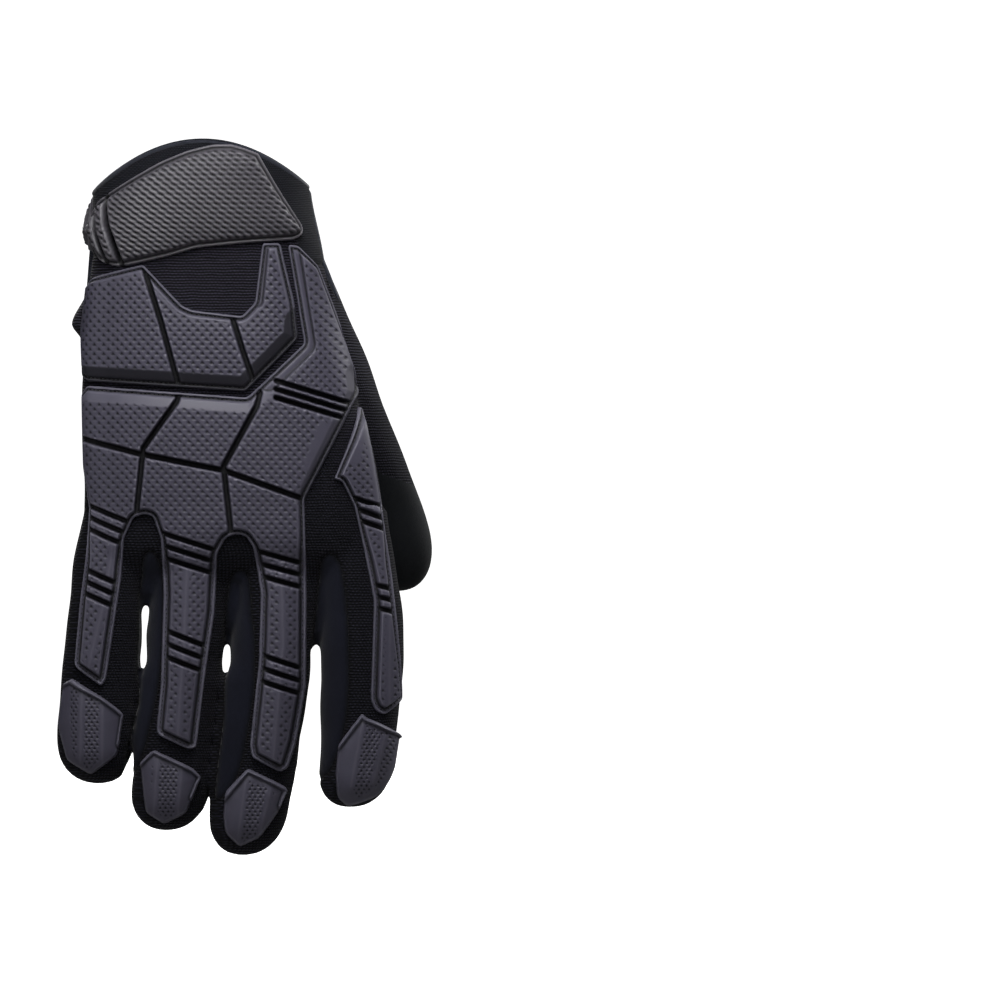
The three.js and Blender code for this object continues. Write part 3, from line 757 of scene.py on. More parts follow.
def spread(slots):
    # a group of flex slots: the first one's two ends, how many and the step between them
    lines = []
    for x1, y1, x2, y2, count, step in slots:
        lines += [[(x1, y1 + step * k), (x2, y2 + step * k)] for k in range(count)]
    return lines


def pits(s, z, pitch, row, size):
    # staggered small chevron pits: a diamond in each cell, its middle drawn down
    line = np.floor(z / row)
    ds = ((s / pitch + 0.5 * (line % 2)) % 1 - 0.5) * pitch
    dz = (z / row - line - 0.5) * row
    return np.clip(1.55 - 1.5 * (np.abs(ds) * 0.8 + np.abs(dz + 0.45 * np.abs(ds) - 0.15)) / size, 0, 1)


def mouldedRelief(spec, wrap):
    grooves = [wrap.flat(drawn(line)) for line in spec.get("grooves", [])]
    slots = [wrap.flat(drawn(line)) for line in spread(spec.get("slots", []))]
    ridges = [wrap.flat(drawn(line)) for line in spec.get("ridges", [])]
    bevels = [(wrap.flat(drawn(line)), width, tone) for line, width, tone in spec.get("bevels", [])]
    shelves = [(wrap.flat(drawn(line)), width) for line, width in spec.get("shelves", [])]
    smooth = [rounded(wrap.flat(drawn(area))) for area in spec.get("smooth", [])]
    textured = rounded(wrap.flat(drawn(spec["textured"]))) if "textured" in spec else None

    def relief(s, z, d):
        flange, height = spec["flange"], spec["height"]
        channel = spec["channel"] + spec.get("fingerFlange", 0) * smoothstep(-133, -146, z)
        foot = smoothstep(-0.1, 0.35, d)
        bead = spec["bead"] * hump(d, 0.55, 0.34)
        rise = smoothstep(channel + 0.1, channel + 1.0, d)
        crown = spec["crown"] * (1 - np.exp(-np.clip(d - channel - 1, 0, None) / 3.5))
        body = flange + (height - spec["crown"] - flange) * rise + crown
        # painted shade in the channel beside the bead; painted highlights on the bead and on the panel's
        # rising edge
        dark = 1.1 * np.exp(-((d - channel) / 0.42) ** 4) * (spec["bead"] > 0)
        paintedHighlight = hump(d, 0.5, 0.36) * (spec["bead"] > 0) + 0.6 * hump(d, channel + 1.0, 0.3)
        plain = smoothstep(channel + 1.3, channel + 1.9, d)
        if ridges:
            reach = lineDistance(s, z, ridges)
            body += spec["ridge"] * rise * np.clip(1 - reach / spec["ridgeWidth"], 0, 1)
            plain *= smoothstep(1.0, 1.6, reach)
            # painted highlight along the ridge's crest
            paintedHighlight += 0.3 * hump(reach, 0, 0.45)
        for line, width, tone in bevels:
            # a flat facet from the edge inwards, with painted shade or a painted highlight by its tone
            reach = lineDistance(s, z, [line])
            fall = np.clip(1 - reach / width, 0, 1)
            facet = smoothstep(width + 0.25, width - 0.25, reach)
            body -= spec["bevelDrop"] * fall * rise
            plain *= 1 - facet
            dark = np.maximum(dark, -tone * facet)
            paintedHighlight = np.maximum(paintedHighlight, tone * facet) + 0.35 * hump(reach, width, 0.3) * rise
        for line, width in shelves:
            # a low smooth flange beside the line, with painted shade at its step and a painted highlight
            # beyond it
            reach = lineDistance(s, z, [line])
            high = smoothstep(width, width + 0.8, reach)
            body = np.where(reach < width + 1,
                            np.minimum(body, flange + 1.0 + (body - flange - 1.0) * high), body)
            plain *= smoothstep(width + 0.6, width + 1.2, reach)
            dark = np.maximum(dark, hump(reach, width, 0.4) * rise)
            paintedHighlight += 0.4 * hump(reach, width + 1.0, 0.35) * rise
        if textured is not None:
            plain *= smoothstep(-0.2, 0.3, insideDistance(s, z, textured))
        for area in smooth:
            plain *= 1 - smoothstep(-0.3, 0.3, insideDistance(s, z, area))
        marksPit = pits(s, z, spec["pitch"], spec["row"], spec["pit"])
        body -= 0.45 * plain * marksPit
        for lines, width in ((grooves, spec.get("grooveWidth", 1.7)), (slots, spec.get("slotWidth", 1.5))):
            if lines:
                reach = lineDistance(s, z, lines)
                outside = 1 - smoothstep(channel - 0.5, channel, d)
                cut = np.maximum(smoothstep(width / 2 - 0.3, width / 2 + 0.35, reach), outside)
                deep = 0.3
                body = np.where(body > deep, deep + (body - deep) * cut, body)
                # painted shade inside the cuts, painted highlights on their lips
                inside = 1.3 * (1 - smoothstep(width / 2 - 0.2, width / 2 + 0.3, reach)) * (1 - outside)
                dark = np.maximum(dark, inside)
                paintedHighlight = paintedHighlight * cut + 0.6 * hump(reach, width / 2 + 0.6, 0.3) * rise
                plain *= smoothstep(width / 2 + 0.8, width / 2 + 1.4, reach)
        stand = foot * (body + bead)
        # marks: painted shade (channel, cuts, dark bevels and pits), painted highlight, and the pattern mask
        marks = np.stack([np.clip(dark + 0.95 * plain * marksPit, 0, 1.2), np.clip(paintedHighlight, 0, 1), plain],
                         -1)
        return stand, marks

    return relief


# camera, lights and the pale sweep

view = {"x": 0.1034, "distance": 3.0, "z": -0.1219, "frameWidth": 0.35}
studio = {"roomLow": 0.06, "roomHigh": 0.2, "floorGlow": 1.2}


def litOrSeen(tree, lit, seen, output):
    # the camera sees one shader, and light meets the other
    path = tree.nodes.new("ShaderNodeLightPath")
    mix = tree.nodes.new("ShaderNodeMixShader")
    for socket, source in zip(mix.inputs, (path.outputs["Is Camera Ray"], lit, seen)):
        tree.links.new(source, socket)
    tree.links.new(mix.outputs[0], output.inputs["Surface"])


def makeStage():
    camera = bpy.data.cameras.new("camera")
    camera.sensor_width = 36
    camera.lens = 36 * view["distance"] / view["frameWidth"]
    camera.clip_end = 50
    holder = bpy.data.objects.new("camera", camera)
    holder.location = (view["x"], -view["distance"], view["z"])
    holder.rotation_euler = (math.pi / 2, 0, 0)
    bpy.context.scene.collection.objects.link(holder)
    bpy.context.scene.camera = holder
    lights = [
        # name, place, aim, size, watts
        ("key", (0.02, -0.29, 0.26), (0.01, 0, -0.06), 0.26, 2.1),
        ("front", (0.1, -1.6, 0.7), (0, 0, -0.12), 0.7, 5),
        ("left", (-1.2, -0.9, 0.35), (0, 0, -0.12), 0.7, 3),
        ("right", (1.0, 0.5, 0.5), (0, 0, -0.1), 0.6, 8),
        ("palm", (-0.3, 1.5, 0.6), (0, 0, -0.12), 0.9, 16),
    ]
    for name, place3, aim, size, watts in lights:
        lamp = bpy.data.lights.new(name, "AREA")
        lamp.size = size
        lamp.energy = watts
        lampHolder = bpy.data.objects.new(name, lamp)
        lampHolder.location = place3
        lampHolder.rotation_euler = (Vector(aim) - Vector(place3)).to_track_quat("-Z", "Y").to_euler()
        lampHolder.visible_camera = False
        bpy.context.scene.collection.objects.link(lampHolder)
    world = bpy.data.worlds.new("studio")
    world.use_nodes = True
    # the camera sees a white room, the glove a dimmer one that is lighter above
    tree = world.node_tree
    room = tree.nodes["Background"]
    seen = tree.nodes.new("ShaderNodeBackground")
    seen.inputs["Color"].default_value = (1, 1, 1, 1)
    up = tree.nodes.new("ShaderNodeSeparateXYZ")
    ramp = tree.nodes.new("ShaderNodeMapRange")
    ramp.inputs["From Min"].default_value = -0.6
    ramp.inputs["To Min"].default_value = studio["roomLow"]
    ramp.inputs["To Max"].default_value = studio["roomHigh"]
    tree.links.new(tree.nodes.new("ShaderNodeTexCoord").outputs["Generated"], up.inputs[0])
    tree.links.new(up.outputs[2], ramp.inputs["Value"])
    tree.links.new(ramp.outputs[0], room.inputs["Strength"])
    litOrSeen(tree, room.outputs[0], seen.outputs[0], tree.nodes["World Output"])
    bpy.context.scene.world = world
    bpy.context.scene.view_settings.view_transform = "Standard"
    # sweep: the floor runs back along Y, turns up on a quarter circle and goes on as a wall
    turn = np.linspace(0, np.pi / 2, 24)
    y = np.concatenate([[-4.5], 3.2 + 0.9 * np.sin(turn), [4.1]])
    z = np.concatenate([[0], 0.9 - 0.9 * np.cos(turn), [5.0]]) - 0.262
    x = np.array([-5.0, 5.0])
    points = np.stack([np.repeat(x[:, None], len(y), 1), np.tile(y, (2, 1)), np.tile(z, (2, 1))], -1)
    count = len(y)
    faces = [(k, k + count, k + count + 1, k + 1) for k in range(count - 1)]
    sweep = newObject("pale_sweep", points.reshape(-1, 3) / mm, faces)
    pale = bpy.data.materials.new("pale sweep")
    pale.use_nodes = True
    tree = pale.node_tree
    shader = tree.nodes["Principled BSDF"]
    shader.inputs["Base Color"].default_value = (0.8, 0.8, 0.8, 1)
    shader.inputs["Roughness"].default_value = 0.9
    shader.inputs["Emission Color"].default_value = (1, 1, 1, 1)
    shader.inputs["Emission Strength"].default_value = studio["floorGlow"]
    dim = tree.nodes.new("ShaderNodeBsdfDiffuse")
    dim.inputs["Color"].default_value = (0.22, 0.22, 0.22, 1)
    litOrSeen(tree, dim.outputs[0], shader.outputs[0], tree.nodes["Material Output"])
    sweep.data.materials.append(pale)


makeStage()
print("stage and camera made")


# shader nodes

def node(tree, kind, inputs=None, **settings):
    made = tree.nodes.new(kind)
    for key, value in settings.items():
        setattr(made, key, value)
    for key, value in (inputs or {}).items():
        if isinstance(value, bpy.types.NodeSocket):
            tree.links.new(value, made.inputs[key])
        else:
            made.inputs[key].default_value = value
    return made


def calc(tree, operation, *values):
    return node(tree, "ShaderNodeMath", dict(enumerate(values)), operation=operation).outputs[0]


def blend(tree, share, first, second, mode="MIX"):
    made = node(tree, "ShaderNodeMix", {0: share}, data_type="RGBA", blend_type=mode)
    for socket, value in ((made.inputs[6], first), (made.inputs[7], second)):
        if isinstance(value, bpy.types.NodeSocket):
            tree.links.new(value, socket)
        else:
            socket.default_value = value
    return made.outputs[2]


def newGroup(name, inputs, outputs):
    group = bpy.data.node_groups.new(name, "ShaderNodeTree")
    for label, kind, value in inputs:
        socket = group.interface.new_socket(name=label, in_out="INPUT", socket_type=kind)
        if value is not None:
            socket.default_value = value
    for label in outputs:
        group.interface.new_socket(name=label, in_out="OUTPUT", socket_type="NodeSocketFloat")
    return group, group.nodes.new("NodeGroupInput"), group.nodes.new("NodeGroupOutput")


def grainGroup():
    # fine grain: two sizes of noise added, as a height and as a slow change of shade
    group, start, end = newGroup("Fine Grain", [
        ("Vector", "NodeSocketVector", None),
        ("Scale", "NodeSocketFloat", 2000.0),
        ("Patch Scale", "NodeSocketFloat", 60.0),
    ], ["Height", "Shade"])
    fine = node(group, "ShaderNodeTexNoise",
                {"Vector": start.outputs[0], "Scale": start.outputs[1], "Detail": 3.0})
    patch = node(group, "ShaderNodeTexNoise",
                 {"Vector": start.outputs[0], "Scale": start.outputs[2], "Detail": 4.0})
    shade = calc(group, "ADD", calc(group, "MULTIPLY", fine.outputs[0], 0.45),
                 calc(group, "MULTIPLY", patch.outputs[0], 0.55))
    group.links.new(fine.outputs[0], end.inputs["Height"])
    group.links.new(shade, end.inputs["Shade"])
    return group


def knitGroup():
    # rib knit: a sine of the height over the rib pitch, its crests broken into staggered stitches
    group, start, end = newGroup("Rib Knit", [
        ("Vector", "NodeSocketVector", None),
        ("Rib", "NodeSocketFloat", 0.00098),
        ("Stitch", "NodeSocketFloat", 0.0011),
        ("Break", "NodeSocketFloat", 0.4),
    ], ["Height", "Shade"])
    wobble = node(group, "ShaderNodeTexNoise", {"Vector": start.outputs[0], "Scale": 160.0, "Detail": 2.0})
    axes = node(group, "ShaderNodeSeparateXYZ", {0: start.outputs[0]})
    row = calc(group, "ADD", calc(group, "DIVIDE", axes.outputs[2], start.outputs[1]),
               calc(group, "MULTIPLY", wobble.outputs[0], 0.8))
    rib = calc(group, "MULTIPLY_ADD", calc(group, "SINE", calc(group, "MULTIPLY", row, 2 * math.pi)), 0.5,
               0.5)
    along = calc(group, "DIVIDE", calc(group, "ADD", axes.outputs[0], axes.outputs[1]), start.outputs[2])
    shift = calc(group, "MULTIPLY", calc(group, "FLOOR", calc(group, "ADD", row, 0.25)), 0.5)
    stitchWave = calc(group, "SINE", calc(group, "MULTIPLY", calc(group, "ADD", along, shift), 2 * math.pi))
    stitch = calc(group, "MULTIPLY_ADD", stitchWave, 0.5, 0.5)
    broken = calc(group, "SUBTRACT", 1.0, calc(group, "MULTIPLY", start.outputs[3], stitch))
    height = calc(group, "MULTIPLY", rib, broken)
    group.links.new(height, end.inputs["Height"])
    group.links.new(height, end.inputs["Shade"])
    return group


def speckGroup():
    # painted glints of a granular coat: cells whose own random value is high enough get a lighter colour as a
    # painted highlight
    group, start, end = newGroup("Granules", [
        ("Vector", "NodeSocketVector", None),
        ("Scale", "NodeSocketFloat", 1400.0),
        ("Share", "NodeSocketFloat", 0.82),
    ], ["Height", "Spark"])
    cells = node(group, "ShaderNodeTexVoronoi", {"Vector": start.outputs[0], "Scale": start.outputs[1]})
    tone = node(group, "ShaderNodeSeparateColor", {0: cells.outputs["Color"]})
    lit = node(group, "ShaderNodeMapRange",
               {"Value": tone.outputs[0], "From Min": start.outputs[2], "From Max": 1.0})
    dome = calc(group, "SUBTRACT", 1.0, cells.outputs["Distance"])
    group.links.new(dome, end.inputs["Height"])
    group.links.new(calc(group, "MULTIPLY", lit.outputs[0], dome), end.inputs["Spark"])
    return group


groups = {"grain": grainGroup(), "knit": knitGroup(), "specks": speckGroup()}


def newMaterial(name, roughness, sheen=0.0, specular=0.5):
    material = bpy.data.materials.new(name)
    material.use_nodes = True
    tree = material.node_tree
    shader = tree.nodes["Principled BSDF"]
    shader.inputs["Roughness"].default_value = roughness
    shader.inputs["Sheen Weight"].default_value = sheen
    shader.inputs["Specular IOR Level"].default_value = specular
    return material, tree, shader


def placed(tree, group, vector, **values):
    made = node(tree, "ShaderNodeGroup", node_tree=groups[group])
    tree.links.new(vector, made.inputs["Vector"])
    for key, value in values.items():
        made.inputs[key.replace("_", " ")].default_value = value
    return made


def bumped(tree, shader, height, strength, distance, normal=None):
    inputs = {"Height": height, "Strength": strength, "Distance": distance}
    if normal is not None:
        inputs["Normal"] = normal
    made = node(tree, "ShaderNodeBump", inputs)
    tree.links.new(made.outputs[0], shader.inputs["Normal"])
    return made.outputs[0]


def rgb(red, green, blue):
    return (red, green, blue, 1.0)


def marksOf(tree):
    colour = node(tree, "ShaderNodeAttribute", attribute_name="marks").outputs["Color"]
    return node(tree, "ShaderNodeSeparateColor", {0: colour})


def rubberMaterial(name, base, dark, light, roughness, grain):
    # moulded rubber: the marks paint shade in the dark colour into channels, grooves, slots and pits (red)
    # and paint highlights in the light colour on edges and beads (green)
    material, tree, shader = newMaterial(name, roughness, 0.0, 0.42)
    flat = node(tree, "ShaderNodeTexCoord").outputs["Object"]
    marks = marksOf(tree)
    fine = placed(tree, "grain", flat, Scale=grain, Patch_Scale=45.0)
    body = blend(tree, fine.outputs["Shade"], tuple(c * 0.8 for c in base[:3]) + (1,),
                 tuple(min(1, c * 1.2) for c in base[:3]) + (1,))
    withPaintedHighlight = blend(tree, calc(tree, "MULTIPLY", marks.outputs[1], 0.6), body, light)
    paintedShadeShare = node(tree, "ShaderNodeClamp", {"Value": marks.outputs[0]})
    withPaintedShade = blend(tree, paintedShadeShare.outputs[0], withPaintedHighlight, dark)
    tree.links.new(withPaintedShade, shader.inputs["Base Color"])
    rough = calc(tree, "MULTIPLY_ADD", fine.outputs["Shade"], 0.22, roughness - 0.11)
    tree.links.new(calc(tree, "ADD", rough, calc(tree, "MULTIPLY", paintedShadeShare.outputs[0], 0.2)),
                   shader.inputs["Roughness"])
    bumped(tree, shader, fine.outputs["Height"], 0.25, 0.00008)
    return material


def knitMaterial(name, low, high, fingerHigh, rib, stitch, broken, strength):
    # the ribs are painted lighter above the knuckles than on the fingers, a painted falloff of the light from
    # above
    material, tree, shader = newMaterial(name, 0.8, 0.04, 0.16)
    where = node(tree, "ShaderNodeTexCoord").outputs["Object"]
    knit = placed(tree, "knit", where, Rib=rib, Stitch=stitch)
    fine = placed(tree, "grain", where, Scale=2600.0, Patch_Scale=35.0)
    marks = marksOf(tree)
    axes = node(tree, "ShaderNodeSeparateXYZ", {0: where})
    onFingers = node(tree, "ShaderNodeMapRange",
                     {"Value": axes.outputs[2], "From Min": -0.07, "From Max": -0.13})
    tree.links.new(calc(tree, "MULTIPLY_ADD", onFingers.outputs[0], 0.4, broken), knit.inputs["Break"])
    crest = blend(tree, onFingers.outputs[0], high, fingerHigh)
    sharp = node(tree, "ShaderNodeMapRange",
                 {"Value": knit.outputs["Shade"], "From Min": 0.25, "From Max": 0.85})
    colour = blend(tree, sharp.outputs[0], low, crest)
    mottled = blend(tree, calc(tree, "MULTIPLY", fine.outputs["Shade"], 0.7), colour, low)
    # painted shade along the sunk seams
    withSeamShade = blend(tree, calc(tree, "MULTIPLY", marks.outputs[0], 0.85), mottled, rgb(0.001, 0.001, 0.0015))
    tree.links.new(withSeamShade, shader.inputs["Base Color"])
    height = calc(tree, "ADD", knit.outputs["Height"], calc(tree, "MULTIPLY", fine.outputs["Height"], 0.3))
    bumped(tree, shader, height, strength, 0.0004)
    return material


def suedeMaterial(name, low, high, scale=2300.0, sheen=0.2, patch=28.0):
    # brushed nap: fine grain with patches of lighter and darker pile
    material, tree, shader = newMaterial(name, 0.92, sheen, 0.14)
    where = node(tree, "ShaderNodeTexCoord").outputs["Object"]
    fine = placed(tree, "grain", where, Scale=scale, Patch_Scale=patch)
    marks = marksOf(tree)
    colour = blend(tree, fine.outputs["Shade"], low, high)
    # painted shade along the sunk seams and in the pads' edge grooves
    withSeamShade = blend(tree, calc(tree, "MULTIPLY", marks.outputs[0], 0.7), colour, rgb(0.001, 0.001, 0.0012))
    tree.links.new(withSeamShade, shader.inputs["Base Color"])
    bumped(tree, shader, fine.outputs["Height"], 0.5, 0.00018)
    return material


def gripMaterial():
    material, tree, shader = newMaterial("granular grip", 0.6, 0.0, 0.5)
    where = node(tree, "ShaderNodeTexCoord").outputs["Object"]
    specks = placed(tree, "specks", where, Scale=1500.0, Share=0.8)
    fine = placed(tree, "grain", where, Scale=1900.0, Patch_Scale=40.0)
    colour = blend(tree, fine.outputs["Shade"], rgb(0.006, 0.008, 0.010), rgb(0.016, 0.019, 0.023))
    # the specks paint glints into the colour and lower the roughness there
    lit = blend(tree, specks.outputs["Spark"], colour, rgb(0.09, 0.095, 0.105))
    tree.links.new(lit, shader.inputs["Base Color"])
    rough = calc(tree, "SUBTRACT", 0.7, calc(tree, "MULTIPLY", specks.outputs["Spark"], 0.35))
    tree.links.new(rough, shader.inputs["Roughness"])
    bumped(tree, shader, specks.outputs["Height"], 0.6, 0.00025)
    return material


def plainMaterial(name, colour, roughness):
    material, tree, shader = newMaterial(name, roughness, 0.2, 0.35)
    shader.inputs["Base Color"].default_value = colour
    return material


def tapeMaterial(name, low, high):
    # woven tape: fine twill lines across its UV map
    material, tree, shader = newMaterial(name, 0.7, 0.15, 0.35)
    layer = node(tree, "ShaderNodeUVMap", uv_map="flat").outputs[0]
    axes = node(tree, "ShaderNodeSeparateXYZ", {0: layer})
    lean = calc(tree, "ADD", calc(tree, "MULTIPLY", axes.outputs[0], 2 * math.pi / 0.0009),
                calc(tree, "MULTIPLY", axes.outputs[1], 2 * math.pi / 0.0007))
    twill = calc(tree, "MULTIPLY_ADD", calc(tree, "SINE", lean), 0.5, 0.5)
    colour = blend(tree, twill, low, high)
    tree.links.new(colour, shader.inputs["Base Color"])
    bumped(tree, shader, twill, 0.4, 0.0002)
    return material


materials = {
    # rubbers: base, painted shade colour, painted highlight colour, roughness, grain
    "guard": rubberMaterial("moulded guard rubber", rgb(0.064, 0.060, 0.088), rgb(0.003, 0.003, 0.005),
                            rgb(0.17, 0.165, 0.21), 0.5, 1500.0),
    "strap": rubberMaterial("knurled strap rubber", rgb(0.068, 0.064, 0.076), rgb(0.003, 0.003, 0.004),
                            rgb(0.21, 0.20, 0.225), 0.42, 1500.0),
    "knit": knitMaterial("rib knit", rgb(0.0012, 0.0012, 0.0026), rgb(0.050, 0.046, 0.072),
                         rgb(0.020, 0.020, 0.036), 0.00098, 0.0013, 0.32, 1.0),
    "side": suedeMaterial("side fabric", rgb(0.003, 0.0034, 0.0075), rgb(0.010, 0.0115, 0.022), 2600.0, 0.1,
                          45.0),
    "cuff": knitMaterial("padded stretch cuff", rgb(0.004, 0.0045, 0.007), rgb(0.018, 0.019, 0.027),
                         rgb(0.018, 0.019, 0.027), 0.00062, 0.0009, 0.6, 0.6),
    "suede": suedeMaterial("palm suede", rgb(0.002, 0.0026, 0.0034), rgb(0.009, 0.0105, 0.013), sheen=0.08),
    "grip": gripMaterial(),
    "tape": tapeMaterial("woven tape", rgb(0.006, 0.007, 0.014), rgb(0.026, 0.028, 0.05)),
    "thread": plainMaterial("stitching thread", rgb(0.022, 0.024, 0.028), 0.6),
    "darkThread": plainMaterial("dark stitching thread", rgb(0.012, 0.012, 0.016), 0.6),
    "binding": suedeMaterial("edge binding", rgb(0.010, 0.011, 0.017), rgb(0.028, 0.031, 0.044), 1500.0,
                             0.4, 80.0),
}
print("materials made")


# cloth pieces

def clothColumns():
    points, triangles = clothBody()
    columns = [points, cuffField(points), palmField(points), rimField(points)]
    strips = [stripField(*pair)(points) for pair in (("little", "ring"), ("ring", "middle"),
                                                     ("middle", "index"))]
    cuff, palm = columns[1], columns[2]
    underStrap = (points[:, 1] < 0) & (np.abs(points[:, 0]) < 33)
    near = [np.where(underStrap, 9, np.abs(cuff)),
            np.where(cuff < 1, np.abs(palm), 9)] + [np.where(cuff < 0, np.abs(f), 9) for f in strips]
    seam = np.exp(-(np.minimum.reduce(near) / cloth["seamWidth"]) ** 2)
    normals = vertexNormals(points, triangles)
    move = clothWaves(points) - cloth["seamDepth"] * seam - creases(points)
    shaped = points + normals * move[:, None]
    from60 = points[:, 2] + 60
    swell = np.exp(-(from60 / np.where(from60 > 0, 8.5, 4.5)) ** 2) * smoothstep(-33, -41, points[:, 0])
    shaped[:, 0] -= 5.0 * swell
    stacked = np.column_stack([shaped, cuff, palm, columns[3], *strips, seam])
    return stacked, triangles


def clothPart(name, stacked, triangles, signs, material, wall):
    columns, kept = stacked, triangles
    for column, sign in signs:
        columns, kept = keepInside(columns, kept, columns[:, column] * sign)
    piece = newObject(name, columns[:, :3], kept.tolist(), material)
    marks = piece.data.attributes.new("marks", "FLOAT_COLOR", "POINT")
    zero = np.zeros(len(columns))
    # the seam share goes into marks as painted shade along the sunk seams
    marks.data.foreach_set("color", np.column_stack([columns[:, 9], zero, zero, zero + 1]).ravel())
    solid = piece.modifiers.new("wall", "SOLIDIFY")
    solid.thickness = wall * mm
    solid.offset = -1
    applyModifiers(piece)
    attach(piece, "root")
    return piece


def suedeThumb(piece):
    # faces of the back panel on the lower thumb take the suede
    mesh = piece.data
    mesh.materials.append(materials["suede"])
    centres = np.empty(len(mesh.polygons) * 3)
    mesh.polygons.foreach_get("center", centres)
    centres = centres.reshape(-1, 3) / mm
    lower = (centres[:, 2] < -112 - 0.35 * (centres[:, 0] - 60)) & (thumbShare(centres) > 0.5)
    mesh.polygons.foreach_set("material_index", lower.astype(np.int32))


def knitBelowStrap(piece):
    # faces of the cuff on the back below the strap's middle take the knit
    mesh = piece.data
    mesh.materials.append(materials["knit"])
    centres = np.empty(len(mesh.polygons) * 3)
    mesh.polygons.foreach_get("center", centres)
    centres = centres.reshape(-1, 3) / mm
    knitted = (centres[:, 1] < -2) & (centres[:, 2] < -24) & (centres[:, 0] < 33)
    mesh.polygons.foreach_set("material_index", knitted.astype(np.int32))


stacked, bodyTriangles = clothColumns()
cuffColumn, palmColumn, rimColumn, firstStrip = 3, 4, 5, 6
notStrips = [(firstStrip + k, -1) for k in range(3)]
clothParts = {
    "cuff_band": ([(rimColumn, 1), (cuffColumn, 1)], "cuff", "stretch"),
    "back_panel": ([(cuffColumn, -1), (palmColumn, -1)] + notStrips, "knit", "knit"),
    "palm_panel": ([(cuffColumn, -1), (palmColumn, 1)] + notStrips, "suede", "palm_leather"),
    "fourchette_little_ring": ([(cuffColumn, -1), (firstStrip, 1)], "side", "side_fabric"),
    "fourchette_ring_middle": ([(cuffColumn, -1), (firstStrip + 1, 1)], "side", "side_fabric"),
    "fourchette_middle_index": ([(cuffColumn, -1), (firstStrip + 2, 1)], "side", "side_fabric"),
}
for name, (signs, look, slotName) in clothParts.items():
    made = clothPart(name + "_cloth", stacked, bodyTriangles, signs, materials[look], glove["clothWall"])
    if name == "cuff_band":
        knitBelowStrap(made)
    if name == "back_panel":
        suedeThumb(made)
    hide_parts(name)
    print(name, "made:", len(made.data.polygons), "faces")


# moulded guards on the back

